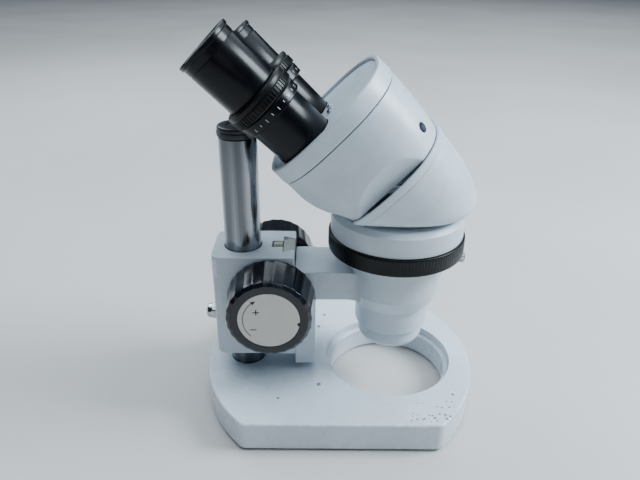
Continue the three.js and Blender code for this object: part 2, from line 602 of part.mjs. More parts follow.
function facePlate() {
  let plate = rimOutline(RIM.lip + GAP, -RIM.recess - RIM.plate, -RIM.recess);
  for (const side of [-1, 1]) {
    const hole = moved(disc(TUBE.r + 2 * GAP, TUBE.bottom, -TUBE.bottom, 0, 0), tubeMatrix(side));
    for (const swing of SWING.holes) plate = plate.subtract(moved(hole, swingMatrix(side, swing)));
  }
  return plate;
}

// Rotation of one eye tube about its pivot by an angle in degrees; positive brings the tubes together.
function swingMatrix(side, angle) {
  const pivot = new THREE.Vector3(SWING.t, side * SWING.y, 0).applyMatrix4(headMatrix());
  const turn = new THREE.Matrix4().makeRotationAxis(N, rad(side * angle));
  const to = new THREE.Matrix4().makeTranslation(pivot);
  const back = new THREE.Matrix4().makeTranslation(pivot.clone().negate());
  return to.multiply(turn).multiply(back);
}

function buildHead() {
  const neck = turned([
    [NECK.boreR, NECK.bottom], [NECK.r, NECK.bottom], [NECK.r, NECK.rim], [NECK.topR, NECK.top],
    [NECK.boreR, NECK.top],
  ], FINE);
  place('neck', neck.translate([STAGE.x, 0, 0]), PAINT, 0.45);

  const above = (z) => box(-WHOLE, WHOLE, -WHOLE, WHOLE, z, WHOLE);
  const whole = headBody(0, -RIM.depth - GAP).intersect(above(HEAD.floor))
    .subtract(disc(NECK.boreR, 0, HEAD.floor + 2 * HEAD.floorWall, STAGE.x, 0));
  const hollow = headBody(HEAD.wall, 5).intersect(above(HEAD.floor + HEAD.floorWall));
  const split = LIP.n - LIP.width / 2;
  let upper = whole;
  let upperHollow = hollow;
  for (const side of [-1, 1]) {
    const plugHole = moved(disc(PLUG.r + GAP, -8, 8, 0, 0, SMALL), plugMatrix(side));
    upper = upper.subtract(flankCut(side, 0)).subtract(plugHole);
    upperHollow = upperHollow.subtract(flankCut(side, HEAD.wall));
  }
  upper = upper.subtract(upperHollow).intersect(slab(split + LIP.width + GAP, 30));
  place('upper_shell', upper, PAINT, 0.4);
  place('lower_shell', whole.subtract(hollow).intersect(slab(-WHOLE, split - GAP)), PAINT, 0.4);
  const band = headBody(-LIP.proud, 0).intersect(above(HEAD.floor));
  const collar = band.subtract(headBody(-GAP, 5)).intersect(slab(split, split + LIP.width));
  const flange = band.subtract(hollow).intersect(slab(split, split + LIP.flange));
  place('lip_ring', collar.add(flange), PAINT, 0.4);
  const rim = rimOutline(0, -RIM.depth, 0).subtract(rimOutline(RIM.lip, -2 * RIM.depth, 5));
  place('face_rim', rim, PAINT, 0.4);
  place('face_plate', facePlate(), PAINT, 0.4);
  for (const [name, side] of [['near', -1], ['far', 1]]) {
    const { t, y, r, height } = FACE_SCREW;
    const screw = disc(r, GAP - RIM.recess, height - RIM.recess, t, side * y, SMALL);
    place(`${name}_face_screw`, moved(screw, headMatrix()), CHROME, 0.2, 1);
    const plug = disc(PLUG.r, PLUG.from, PLUG.to, 0, 0, SMALL);
    place(`${name}_side_plug`, moved(plug, plugMatrix(side)), NAVY, 0.4);
    const block = new THREE.BoxGeometry(...PRISM.size);
    block.translate(PRISM.t, side * PRISM.y, PRISM.n);
    place(`${name}_prism_block`, moved(solid(block), headMatrix()), GLASS, 0.05);
  }
}

// A place on the rounded flank of the upper shell, with the local +Z pointing out of it.
function plugMatrix(side) {
  const { halfT, halfY, power } = HEAD;
  const along = PLUG.t / halfT;
  const across = (1 - along ** power) ** (1 / power);
  const normal = new THREE.Vector3(along ** (power - 1) / halfT, (side * across ** (power - 1)) / halfY, 0);
  const turn = new THREE.Quaternion().setFromUnitVectors(new THREE.Vector3(0, 0, 1), normal.normalize());
  const spot = new THREE.Vector3(PLUG.t, side * across * halfY, PLUG.n);
  const matrix = new THREE.Matrix4().compose(spot, turn, new THREE.Vector3(1, 1, 1));
  return new THREE.Matrix4().multiplyMatrices(headMatrix(), matrix);
}

// ---------------------------------------------------------------- eye tubes and eyepieces
// All of these are drawn along +Z in the frame of their tube.
function eyeTube() {
  const { boreR, bottom, r, scaleFrom, scaleTo, scaleR } = TUBE;
  return turned([
    [boreR, bottom], [r, bottom], [r, scaleFrom], [scaleR, scaleFrom + 1], [scaleR, scaleTo],
    [boreR, scaleTo],
  ]);
}

function diopterRing() {
  const { boreR, from, to, r } = DIOPTER;
  return turned([[boreR, from], [r, from], [r, to - 1], [r - 1, to], [boreR, to]]);
}

function eyepieceBarrel() {
  const { boreR, bottom, sleeveR, barrelFrom, r, lip, lipR, top } = EYEPIECE;
  return turned([
    [boreR, bottom], [sleeveR, bottom], [sleeveR, barrelFrom], [r, barrelFrom + 0.6], [r, top - lip],
    [lipR, top - lip], [lipR, top], [boreR, top],
  ]);
}

// A lens with a flat back and a crowned front.
function lens(r, z0, z1) {
  return turned([[0, z0], [r, z0], [r, z1 - 1.5], [0.6 * r, z1 - 0.5], [0, z1]], 20);
}

function buildEyepieces() {
  const { boreR, top, lip, eyeLens, fieldLens, nearRise } = EYEPIECE;
  const lensR = boreR - GAP;
  for (const [name, side] of [['near', -1], ['far', 1]]) {
    const matrix = tubeMatrix(side);
    place(`${name}_eye_tube`, moved(eyeTube(), matrix), BLACK, 0.3);
    place(`${name}_diopter_ring`, moved(diopterRing(), matrix), BLACK, 0.45);
    const rise = new THREE.Matrix4().makeTranslation(0, 0, side < 0 ? nearRise : 0);
    const up = new THREE.Matrix4().multiplyMatrices(matrix, rise);
    place(`${name}_eyepiece`, moved(eyepieceBarrel(), up), BLACK, 0.3);
    place(`${name}_eye_lens`, moved(lens(lensR, top - eyeLens, top - lip), up), GLASS, 0.05);
    place(`${name}_field_lens`, moved(lens(lensR, fieldLens, fieldLens + 4), up), GLASS, 0.05);
  }
}

buildStand();
buildFocus();
place('carriage_arm', carriageArm(), PAINT, 0.45);
place('head_clamp_screw', headClampScrew(), CHROME, 0.2, 1);
buildOptics();
buildHead();
buildEyepieces();

export default model;
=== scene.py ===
from math import acos, asin, atan2, cos, hypot, pi, radians, sin, sqrt, tan
from types import SimpleNamespace as Sizes

import bmesh
import bpy
import numpy as np
from mathutils import Matrix, Vector
from numpy.linalg import norm


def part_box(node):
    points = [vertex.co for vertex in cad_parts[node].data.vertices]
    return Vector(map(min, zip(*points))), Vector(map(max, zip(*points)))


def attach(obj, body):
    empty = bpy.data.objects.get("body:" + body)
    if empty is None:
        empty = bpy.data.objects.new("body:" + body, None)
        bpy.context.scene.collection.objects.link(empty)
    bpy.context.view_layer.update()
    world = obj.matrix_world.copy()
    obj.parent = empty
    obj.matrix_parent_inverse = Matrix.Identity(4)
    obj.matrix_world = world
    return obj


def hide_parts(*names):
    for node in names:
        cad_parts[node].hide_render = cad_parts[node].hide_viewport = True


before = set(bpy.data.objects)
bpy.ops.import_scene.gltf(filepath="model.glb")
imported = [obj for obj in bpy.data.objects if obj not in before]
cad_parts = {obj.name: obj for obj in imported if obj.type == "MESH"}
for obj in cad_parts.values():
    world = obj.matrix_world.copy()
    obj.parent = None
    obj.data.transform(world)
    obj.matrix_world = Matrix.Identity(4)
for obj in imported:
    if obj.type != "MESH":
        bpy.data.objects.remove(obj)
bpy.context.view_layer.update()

MM = 0.001          # lengths below are millimetres; meshes are scaled to metres when they are made
GAP = 0.3           # clearance the CAD keeps between pieces
FINE, MEDIUM, SMALL = 160, 96, 40   # columns round a wide, a middling and a narrow round piece
X, Y, Z = 0, 1, 2
SIDES = (("near", -1), ("far", 1))


# ---------------------------------------------------------------- places, from the frame
def span(node):
    """Lowest and highest corner of a CAD node, in millimetres."""
    low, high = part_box(node)
    return np.array(low) / MM, np.array(high) / MM


def middle(node, axis):
    low, high = span(node)
    return (low[axis] + high[axis]) / 2


def half_span(node, axis=X):
    low, high = span(node)
    return (high[axis] - low[axis]) / 2


BASE_LOW, BASE_HIGH = span("base")
POLE_X = middle("pole", X)
STAGE_X = middle("nose_ring", X)
SHAFT_X, SHAFT_Z = middle("pinion_shaft", X), middle("pinion_shaft", Z)


def at(x, y=0, z=0):
    return Matrix.Translation((x, y, z))


def turned_about(axis, place):
    """A matrix that lays local +Z along an axis, at a place in millimetres."""
    return at(*place) @ Vector(axis).to_track_quat("Z", "Y").to_matrix().to_4x4()


def moved(verts, matrix):
    turn = np.array(matrix)
    return np.asarray(verts, float) @ turn[:3, :3].T + turn[:3, 3]


# ---------------------------------------------------------------- outlines
def rounded(corners, closed=True, steps=5):
    """A polyline through (a, b, radius) corners, with an arc at each corner whose radius isn't 0."""
    out = []
    count = len(corners)
    for i, (a, b, radius) in enumerate(corners):
        p = np.array([a, b], float)
        if radius <= 0 or (not closed and i in (0, count - 1)):
            out.append(p)
            continue
        to_last = np.array(corners[i - 1][:2], float) - p
        to_next = np.array(corners[(i + 1) % count][:2], float) - p
        last_length, next_length = norm(to_last), norm(to_next)
        u, v = to_last / last_length, to_next / next_length
        half = 0.5 * acos(float(np.clip(u @ v, -1, 1)))
        cut = min(radius / tan(half), 0.49 * last_length, 0.49 * next_length)
        bisector = (u + v) / norm(u + v)
        centre = p + bisector * (cut * tan(half)) / sin(half)
        start, end = p + u * cut - centre, p + v * cut - centre
        sweep = pi - 2 * half
        for f in (k / steps for k in range(steps + 1)):
            out.append(centre + (sin((1 - f) * sweep) * start + sin(f * sweep) * end) / sin(sweep))
    return [tuple(q) for q in out]


def arc(cx, cy, radius, start, end, steps):
    """Points on a circle between two angles in radians."""
    return [(cx + radius * cos(start + (end - start) * k / steps),
            cy + radius * sin(start + (end - start) * k / steps)) for k in range(steps + 1)]


def divided(loop, longest):
    """A closed outline with its long sides cut into shorter ones."""
    out = []
    for k, (a, b) in enumerate(loop):
        c, d = loop[(k + 1) % len(loop)]
        pieces = max(1, int(hypot(c - a, d - b) / longest))
        out += [(a + (c - a) * i / pieces, b + (d - b) * i / pieces) for i in range(pieces)]
    return out


def rectangle(x0, y0, x1, y1):
    return [(x0, y0), (x1, y0), (x1, y1), (x0, y1)]


# ---------------------------------------------------------------- meshes
def new_mesh(name, verts, faces, place=None):
    """A mesh from vertices in millimetres."""
    mesh = bpy.data.meshes.new(name)
    co = np.asarray(verts, float) if place is None else moved(verts, place)
    mesh.from_pydata((co * MM).tolist(), [], faces)
    return mesh


def cleaned(mesh):
    """Joins doubled vertices and turns every face outwards."""
    work = bmesh.new()
    work.from_mesh(mesh)
    bmesh.ops.remove_doubles(work, verts=work.verts, dist=1e-7)
    bmesh.ops.recalc_face_normals(work, faces=work.faces)
    work.to_mesh(mesh)
    work.free()
    return mesh


def linked(name, data):
    piece = bpy.data.objects.new(name, data)
    bpy.context.scene.collection.objects.link(piece)
    return piece


def finish_mesh(name, mesh, body, look, replaces=None):
    """A finished piece of the object. The look is a (slot, material) pair."""
    cleaned(mesh)
    mesh.shade_smooth()
    mesh.set_sharp_from_angle(angle=radians(32))
    piece = linked(name, mesh)
    slot, material = look
    mesh.materials.append(material)
    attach(piece, body)
    if replaces:
        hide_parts(replaces)
    return piece


def make(name, verts, faces, body, look, replaces=None, place=None):
    return finish_mesh(name, new_mesh(name, verts, faces, place), body, look, replaces)


def spin(name, profile, body, look, replaces, place, columns=FINE, flute=None):
    """A finished body of revolution."""
    return make(name, *lathe(profile, columns, flute), body, look, replaces, place)


def flat_normals(piece):
    """Keeps broad flat faces flat next to rounded edges."""
    weigh = piece.modifiers.new("normals", "WEIGHTED_NORMAL")
    weigh.keep_sharp = True
    weigh.weight = 100


def grid_faces(columns, rows, wrap_columns, wrap_rows):
    faces = []
    for i in range(columns if wrap_columns else columns - 1):
        for j in range(rows if wrap_rows else rows - 1):
            a, b = i, (i + 1) % columns
            c, d = j, (j + 1) % rows
            faces.append((a * rows + c, b * rows + c, b * rows + d, a * rows + d))
    return faces


def lathe(profile, columns=MEDIUM, flute=None):
    """Body of revolution about Z. The profile is [(radius, z)], closed on itself or ending on the axis.
    flute(angle, radius, z) may return a changed radius."""
    on_axis = profile[0][0] < 1e-9 and profile[-1][0] < 1e-9
    inner = profile[1:-1] if on_axis else profile
    rows = len(inner)
    verts = []
    for i in range(columns):
        angle = 2 * pi * i / columns
        for r, z in inner:
            radius = flute(angle, r, z) if flute else r
            verts.append((radius * cos(angle), radius * sin(angle), z))
    faces = grid_faces(columns, rows, True, not on_axis)
    if on_axis:
        for row, (_, z) in ((0, profile[0]), (rows - 1, profile[-1])):
            hub = len(verts)
            verts.append((0, 0, z))
            faces += [(i * rows + row, ((i + 1) % columns) * rows + row, hub) for i in range(columns)]
    return verts, faces


def skin(columns, wrap):
    """A closed surface through columns of points. Each column is a loop; open ends get a cap."""
    columns = np.asarray(columns)
    count, rows, _ = columns.shape
    faces = grid_faces(count, rows, wrap, True)
    if not wrap:
        faces.append(tuple(range(rows)))
        faces.append(tuple((count - 1) * rows + j for j in reversed(range(rows))))
    return columns.reshape(-1, 3), faces


def stacked(rings):
    """A closed surface through rings of points one above another, with a cap at each end."""
    count = len(rings[0])
    faces = grid_faces(len(rings), count, False, True)
    faces.append(tuple(reversed(range(count))))
    faces.append(tuple((len(rings) - 1) * count + i for i in range(count)))
    return np.concatenate(rings), faces


def slab_mesh(outline, z0, z1, edge=0.0, steps=3):
    """An upright prism over a closed outline, with rounded top and bottom edges."""
    points = np.array(outline)
    area = 0.5 * np.sum(points[:, 0] * np.roll(points[:, 1], -1) - np.roll(points[:, 0], -1) * points[:, 1])
    if area < 0:
        points = points[::-1]
    ahead = np.roll(points, -1, axis=0) - points
    ahead /= norm(ahead, axis=1)[:, None]
    behind = np.roll(ahead, 1, axis=0)
    inward = np.stack([-(ahead + behind)[:, 1], (ahead + behind)[:, 0]], 1)
    inward /= norm(inward, axis=1)[:, None]
    cosine = np.clip(np.sum(inward * np.stack([-ahead[:, 1], ahead[:, 0]], 1), axis=1), 0.5, 1)
    inward /= cosine[:, None]
    levels = [(0, z0), (0, z1)]
    if edge > 0:
        turns = [pi / 2 * k / steps for k in range(steps + 1)]
        levels = [(edge * (1 - sin(f)), z0 + edge * (1 - cos(f))) for f in turns]
        levels += [(inset, z0 + z1 - z) for inset, z in reversed(levels)]
    return stacked([np.array([(x, y, z) for x, y in points + inward * inset]) for inset, z in levels])


def raw(name, verts, faces, place=None):
    """A mesh object used only to cut or join; combined() removes it."""
    return linked(name, cleaned(new_mesh(name, verts, faces, place)))


def raw_round(name, profile, place, columns=SMALL):
    return raw(name, *lathe(profile, columns), place)


def rod(name, radius, bottom, top, place, columns=SMALL):
    return raw_round(name, [(0, bottom), (radius, bottom), (radius, top), (0, top)], place, columns)


def hole_cutter(name, x, y, radius, bottom, top, edge=0.5, columns=MEDIUM):
    """A round cutter that also rounds the rim of the hole where it leaves the face at top."""
    turns = [pi / 2 * k / 4 for k in range(5)]
    flare = [(radius + edge - edge * cos(f), top - edge + edge * sin(f)) for f in turns]
    profile = [(0, bottom), (radius, bottom)] + flare + [(radius + edge, top + 3), (0, top + 3)]
    return raw_round(name, profile, at(x, y), columns)


def combined(body, cuts=(), joins=()):
    """body with the joins added and the cuts taken away, as a mesh; all the objects are removed."""
    for operation, tools in (("UNION", joins), ("DIFFERENCE", cuts)):
        for tool in tools:
            step = body.modifiers.new("cut", "BOOLEAN")
            step.operation = operation
            step.solver = "EXACT"
            step.object = tool
    bpy.context.view_layer.update()
    mesh = bpy.data.meshes.new_from_object(body.evaluated_get(bpy.context.evaluated_depsgraph_get()))
    for spent in [body, *cuts, *joins]:
        bpy.data.objects.remove(spent)
    return mesh


# ---------------------------------------------------------------- materials
def scaled(color, factor):
    return tuple(c * factor for c in color)


class Nodes:
    """Small helper for building a node material. Other shader inputs go by name, as in Coat_Weight=0.1."""

    def __init__(self, name, color, roughness, metallic=0.0, **others):
        self.material = bpy.data.materials.new(name)
        self.material.use_nodes = True
        self.material.diffuse_color = (*color, 1)
        self.color = color
        self.tree = self.material.node_tree
        self.shader = self.tree.nodes["Principled BSDF"]
        self.fill(self.shader, Base_Color=(*color, 1), Roughness=roughness, Metallic=metallic, **others)
        self.place = self.node("ShaderNodeTexCoord").outputs["Object"]

    def put(self, value, socket):
        if isinstance(value, bpy.types.NodeSocket):
            self.tree.links.new(value, socket)
        else:
            socket.default_value = value

    def fill(self, node, **inputs):
        for key, value in inputs.items():
            self.put(value, node.inputs[key.replace("_", " ")])
        return node

    def node(self, kind, **inputs):
        return self.fill(self.tree.nodes.new(kind), **inputs)

    def stretched(self, scale):
        return self.node("ShaderNodeMapping", Vector=self.place, Scale=scale).outputs[0]

    def noise(self, scale, detail=3.0, rough=0.5, vector=None):
        vector = self.place if vector is None else vector
        return self.node("ShaderNodeTexNoise", Scale=scale, Detail=detail, Roughness=rough,
                Vector=vector).outputs["Fac"]

    def cells(self, scale):
        return self.node("ShaderNodeTexVoronoi", Scale=scale, Vector=self.place).outputs["Distance"]

    def ramp(self, value, low, high, to_low=0.0, to_high=1.0):
        made = self.node("ShaderNodeMapRange", Value=value, From_Min=low, From_Max=high, To_Min=to_low,
                To_Max=to_high)
        made.interpolation_type = "SMOOTHSTEP"
        return made.outputs["Result"]

    def math(self, operation, a, b):
        made = self.node("ShaderNodeMath")
        made.operation = operation
        self.put(a, made.inputs[0])
        self.put(b, made.inputs[1])
        return made.outputs[0]

    def times(self, a, b):
        return self.math("MULTIPLY", a, b)

    def mix(self, factor, a, b):
        made = self.node("ShaderNodeMix")
        made.data_type = "RGBA"
        a, b = (c if isinstance(c, bpy.types.NodeSocket) else (*c, 1) for c in (a, b))
        for name, value in (("Factor_Float", factor), ("A_Color", a), ("B_Color", b)):
            self.put(value, next(s for s in made.inputs if s.identifier == name))
        return next(s for s in made.outputs if s.identifier == "Result_Color")

    def tint(self, value, low, high, dark, light):
        """The material's own colour, between two strengths, as value rises."""
        return self.mix(self.ramp(value, low, high), scaled(self.color, dark), scaled(self.color, light))

    def part(self, axis):
        return self.node("ShaderNodeSeparateXYZ", Vector=self.place).outputs[axis]

    def facing(self, axis):
        normal = self.node("ShaderNodeNewGeometry").outputs["Normal"]
        return self.node("ShaderNodeSeparateXYZ", Vector=normal).outputs[axis]

    def finish(self, color, roughness, height=None, strength=0.0, distance=0.0):
        if height is not None:
            bump = self.node("ShaderNodeBump", Height=height, Strength=strength, Distance=distance)
            self.put(bump.outputs[0], self.shader.inputs["Normal"])
        self.fill(self.shader, Base_Color=color, Roughness=roughness)
        return self.material


def enamel(name, color, roughness, grain, chips=0.0):
    """Stove enamel on metal: faint cloudiness, orange peel, a few dark nicks."""
    m = Nodes(name, color, roughness, Specular_IOR_Level=0.45, Coat_Weight=0.12, Coat_Roughness=0.25)
    dust = m.noise(160, 4.0, 0.6)
    shade = m.math("ADD", m.ramp(m.noise(28), 0.3, 0.7, -0.5, 0.5), m.ramp(dust, 0.3, 0.7, -0.3, 0.3))
    nick = m.math("LESS_THAN", m.cells(55.0), m.ramp(m.noise(40, 2.0), 0.62, 0.75, 0.0, 0.05 + 0.1 * chips))
    tint = m.mix(nick, m.tint(shade, -0.8, 0.8, 0.93, 1.04), (0.10, 0.10, 0.10))
    rough = m.ramp(dust, 0.25, 0.75, roughness - 0.06, roughness + 0.08)
    return m.finish(tint, rough, m.noise(900, 2.0), grain, 0.0004)


def base_enamel(name, color):
    """The base plate's enamel: speckled with small dark chips beside the opening, scuffed at its edge."""
    m = Nodes(name, color, 0.3, Specular_IOR_Level=0.5, Coat_Weight=0.25, Coat_Roughness=0.16)
    tint = m.tint(m.noise(22, 4.0, 0.55), 0.3, 0.7, 0.94, 1.05)
    # worn corner: towards +X and -Y, on the top face
    corner = m.times(m.ramp(m.part(X), 0.005, 0.075), m.ramp(m.part(Y), -0.02, -0.045))
    worn = m.times(corner, m.ramp(m.facing(Z), 0.5, 0.9))
    size = m.times(m.times(worn, m.ramp(m.noise(60), 0.34, 0.58)), 0.34)
    speck = m.math("LESS_THAN", m.cells(330.0), size)
    stray = m.math("LESS_THAN", m.cells(48.0), m.ramp(m.noise(33, 2.0), 0.56, 0.72, 0.0, 0.07))
    chips = m.math("MAXIMUM", speck, stray)
    tint = m.mix(chips, tint, (0.09, 0.10, 0.12))
    # the top edge is rubbed lighter
    edge = m.times(m.ramp(m.part(Z), 0.0205, 0.0232), m.ramp(m.facing(Z), 0.985, 0.8))
    rubbed = m.times(m.times(edge, m.ramp(m.noise(190, 4.0, 0.65), 0.5, 0.56)), 0.75)
    tint = m.mix(rubbed, tint, (0.82, 0.86, 0.90))
    scratch = m.noise(1.0, 5.0, 0.7, m.stretched((30, 900, 60)))
    tint = m.mix(m.times(m.ramp(scratch, 0.66, 0.72), 0.35), tint, scaled(color, 0.72))
    height = m.math("SUBTRACT", m.times(m.noise(700, 2.0), 0.5), chips)
    return m.finish(tint, m.ramp(m.noise(95, 4.0), 0.3, 0.7, 0.22, 0.4), height, 0.18, 0.0004)


def plated(name, color, roughness, brushing_and_reflection_streaks=(700, 700, 5)):
    """Polished plating, lightly brushed along the long side of the stretch it is given; the fine stripes and broad
    dark bands in its colour are painted reflections.
    """
    m = Nodes(name, color, roughness, 1.0)
    lines = m.noise(1.0, 4.0, 0.6, m.stretched(brushing_and_reflection_streaks))
    broad = m.noise(1.0, 3.0, 0.5, m.stretched(scaled(brushing_and_reflection_streaks, 0.22)))
    # painted reflections: the fine lines lighten and darken the colour, and broad dark bands stand for dark
    # surroundings mirrored in the plating
    tint = m.mix(m.ramp(broad, 0.36, 0.62), scaled(color, 0.5), m.tint(lines, 0.3, 0.7, 0.85, 1.12))
    smear = m.ramp(m.noise(45), 0.4, 0.8, 0.0, 0.08)
    rough = m.math("ADD", m.ramp(lines, 0.3, 0.7, roughness * 0.7, roughness * 1.5), smear)
    return m.finish(tint, rough, lines, 0.05, 0.0002)


def black_gloss(name, color, roughness, wear):
    """Black enamel on turned metal, with fine dust and a dull film of handling."""
    m = Nodes(name, color, roughness, Specular_IOR_Level=0.22)
    film = m.noise(70, 4.0, 0.6)
    dust = m.times(m.ramp(m.noise(1500, 2.0, 0.6), 0.72, 0.80), 0.5 * wear)
    tint = m.mix(dust, m.tint(film, 0.35, 0.7, 0.8, 1.4), (0.10, 0.10, 0.10))
    return m.finish(tint, m.ramp(film, 0.3, 0.7, roughness - 0.02, roughness + 0.05), m.noise(600), 0.03, 0.0003)


def moulded(name, color, roughness, shine=0.5):
    """Moulded plastic: fine grain, faint scuffs that go grey."""
    m = Nodes(name, color, roughness, Specular_IOR_Level=shine)
    scuff = m.noise(240, 5.0, 0.7)
    grey = m.times(m.ramp(scuff, 0.66, 0.78), 0.10)
    tint = m.mix(grey, m.tint(m.noise(50), 0.3, 0.7, 0.85, 1.2), (0.09, 0.09, 0.10))
    rough = m.ramp(scuff, 0.3, 0.7, roughness - 0.02, roughness + 0.05)
    return m.finish(tint, rough, m.noise(1400, 2.0), 0.03, 0.0001)


def anodised(name, color, roughness=0.42):
    """Satin anodised sheet with a fine even grain and a few marks."""
    m = Nodes(name, color, roughness, 0.35)
    grain = m.noise(1.0, 3.0, 0.6, m.stretched((260, 260, 3200)))
    marks = m.noise(130, 5.0, 0.65)
    tint = m.mix(m.times(m.ramp(marks, 0.66, 0.74), 0.5), m.tint(grain, 0.3, 0.7, 0.95, 1.04), scaled(color, 0.55))
    return m.finish(tint, m.ramp(marks, 0.3, 0.7, roughness - 0.08, roughness + 0.1), grain, 0.03, 0.0002)


def ground_metal(name, color, roughness=0.34):
    """Ground, oiled metal: crossing fine lines and darker oily patches."""
    m = Nodes(name, color, roughness, 0.9)
    lines = m.noise(1.0, 4.0, 0.65, m.stretched((120, 2600, 2600)))
    oil = m.noise(85, 4.0)
    tint = m.mix(m.ramp(oil, 0.5, 0.75), m.tint(lines, 0.3, 0.7, 0.7, 1.25), scaled(color, 0.45))
    return m.finish(tint, m.ramp(oil, 0.4, 0.7, roughness, roughness - 0.12), lines, 0.08, 0.0002)


def rubbery(name, color=(0.022, 0.022, 0.022)):
    m = Nodes(name, color, 0.75)
    cloud = m.noise(180, 4.0)
    tint = m.tint(cloud, 0.3, 0.7, 0.7, 1.8)
    return m.finish(tint, m.ramp(cloud, 0.3, 0.7, 0.65, 0.85), m.noise(1800, 2.0), 0.15, 0.0003)


def coated_glass(name, color=(0.03, 0.05, 0.07)):
    """A coated lens seen against a dark tube: deep tint, mirror gloss, faint dust."""
    m = Nodes(name, color, 0.04, Specular_IOR_Level=0.8, Coat_Weight=1.0, Coat_Roughness=0.02, Coat_Tint=(0.62, 0.75,
            1.0, 1))
    dust = m.noise(1300, 3.0, 0.7)
    tint = m.mix(m.ramp(m.noise(60, 2.0), 0.3, 0.7), color, (0.06, 0.035, 0.075))
    tint = m.mix(m.times(m.ramp(dust, 0.68, 0.8), 0.4), tint, (0.2, 0.2, 0.2))
    return m.finish(tint, m.ramp(dust, 0.5, 0.8, 0.03, 0.2))


def printed(name, color, roughness=0.5):
    """Filled engraving or printed paint, slightly uneven."""
    m = Nodes(name, color, roughness)
    cloud = m.noise(900)
    rough = m.ramp(cloud, 0.3, 0.7, roughness - 0.08, roughness + 0.1)
    return m.finish(m.tint(cloud, 0.3, 0.7, 0.75, 1.1), rough, cloud, 0.05, 0.0001)


# Looks: the material slot, and the material.
PAINT = (0.60, 0.675, 0.738)
HEAD_PAINT = "head_paint", enamel("head_enamel", scaled(PAINT, 1.06), 0.38, 0.05)
CAST_PAINT = "cast_paint", enamel("cast_enamel", PAINT, 0.36, 0.12, chips=0.6)
BASE_PAINT = "cast_paint", base_enamel("base_enamel", (0.62, 0.695, 0.76))
# the pole plating's colour is darkened: a painted reflection of dark surroundings
CHROME_DARKENED_FOR_REFLECTION = "pole_chrome", plated("pole_chrome", (0.30, 0.31, 0.335), 0.17)
BRIGHT = "bright_steel", plated("bright_plating", (0.80, 0.81, 0.82), 0.12, (300, 300, 300))
GROUND = "ground_steel", ground_metal("ground_steel", (0.30, 0.33, 0.30))
BRASS = "brass_parts", ground_metal("rack_brass", (0.42, 0.44, 0.36))
BLACK = "black_enamel", black_gloss("black_enamel", (0.002, 0.0025, 0.004), 0.22, 0.25)
BLACK_RING = "black_enamel", black_gloss("black_ring", (0.003, 0.0035, 0.004), 0.3, 0.5)
KNOB_BLACK = "black_knob", moulded("knob_black", (0.004, 0.005, 0.009), 0.2)
CAP_BLACK = "black_enamel", moulded("cap_black", (0.005, 0.006, 0.010), 0.34)
PLATE = "knob_plate", anodised("knob_plate", (0.56, 0.535, 0.50))
RUBBER = "foot_rubber", rubbery("foot_rubber")
NYLON = "liner_nylon", moulded("liner_nylon", (0.62, 0.62, 0.56), 0.45)
INNER = "inner_black", moulded("inner_black", (0.02, 0.02, 0.022), 0.7)
GLASS = "lens_glass", coated_glass("coated_glass")
PLUG = "plug_plastic", moulded("plug_navy", (0.004, 0.010, 0.035), 0.4, 0.15)
INK = "knob_plate", printed("engraved_black", (0.012, 0.012, 0.014))
WHITE_INK = "black_enamel", printed("printed_white", (0.85, 0.87, 0.88))
LABEL = "cast_paint", printed("blank_label", (0.80, 0.81, 0.97), 0.3)


# ---------------------------------------------------------------- stand
BASE = Sizes(end=107.5, corner=8, edge=1.6, wall=8, floor=7, stage=47.5, ledge=6, lip=44)
CLIP_HOLE = Sizes(x=-16, y=36, r=1.6)
FOOT = Sizes(x=80, y=46, r=8)
FOOT_SPOTS = [(x, y) for x in (-FOOT.x, FOOT.x) for y in (-FOOT.y, FOOT.y)]
POLE = Sizes(bore=8.3, depth=12, bolt_bore=4.3)


def plate_outline(inset, steps=28):
    """Straight long sides, shallow curved ends, rounded corners."""
    r = BASE.end - inset
    centre = BASE_HIGH[X] - BASE.end
    corner = max(BASE.corner - inset / 2, 3)
    cy = BASE_HIGH[Y] - inset - corner
    cx = sqrt((r - corner) ** 2 - cy ** 2)
    turn = atan2(cy, cx)
    one = arc(centre + cx, -cy, corner, -pi / 2, -turn, 8)
    one += arc(centre, 0, r, -turn, turn, steps)[1:]
    one += arc(centre + cx, cy, corner, turn, pi / 2, 8)[1:]
    return one + [(-x, -y) for x, y in one]


def build_base():
    top, bottom = BASE_HIGH[Z], BASE_LOW[Z]
    body = raw("base", *slab_mesh(plate_outline(0), bottom, top, BASE.edge, 4))
    pocket = raw("pocket", *slab_mesh(plate_outline(BASE.wall, 10), -5, top - BASE.floor))
    islands = [rod("island", BASE.stage + 5, -9, 40, at(STAGE_X), MEDIUM), rod("island", 21, -9, 40, at(POLE_X))]
    islands += [rod("island", 12, -9, 40, at(x, y)) for x, y in FOOT_SPOTS]
    stage, lip, ledge = BASE.stage, BASE.lip, top - BASE.ledge
    opening = [(0, -5), (lip, -5), (lip, ledge - 0.4), (lip + 0.4, ledge), (stage, ledge), (stage, top - 0.8),
            (stage + 0.25, top - 0.25), (stage + 0.8, top), (stage + 0.8, top + 3), (0, top + 3)]
    bolt = [(0, -3), (6.8, -3), (6.8, 7), (POLE.bolt_bore, 7), (POLE.bolt_bore, 12), (0, 12)]
    cuts = [linked("hollow", combined(pocket, cuts=islands)), raw_round("opening", opening, at(STAGE_X), FINE),
            hole_cutter("pole_hole", POLE_X, 0, 13.0, 9.7, top, 0.4), raw_round("bolt_hole", bolt, at(POLE_X))]
    for y in (-CLIP_HOLE.y, CLIP_HOLE.y):
        cuts.append(hole_cutter("clip_hole", CLIP_HOLE.x, y, CLIP_HOLE.r, top - 5, top, 0.3, SMALL))
    cuts += [rod("foot_seat", FOOT.r + GAP, -3, 3.8, at(x, y)) for x, y in FOOT_SPOTS]
    flat_normals(finish_mesh("base_plate", combined(body, cuts=cuts), "stand", BASE_PAINT, "base"))


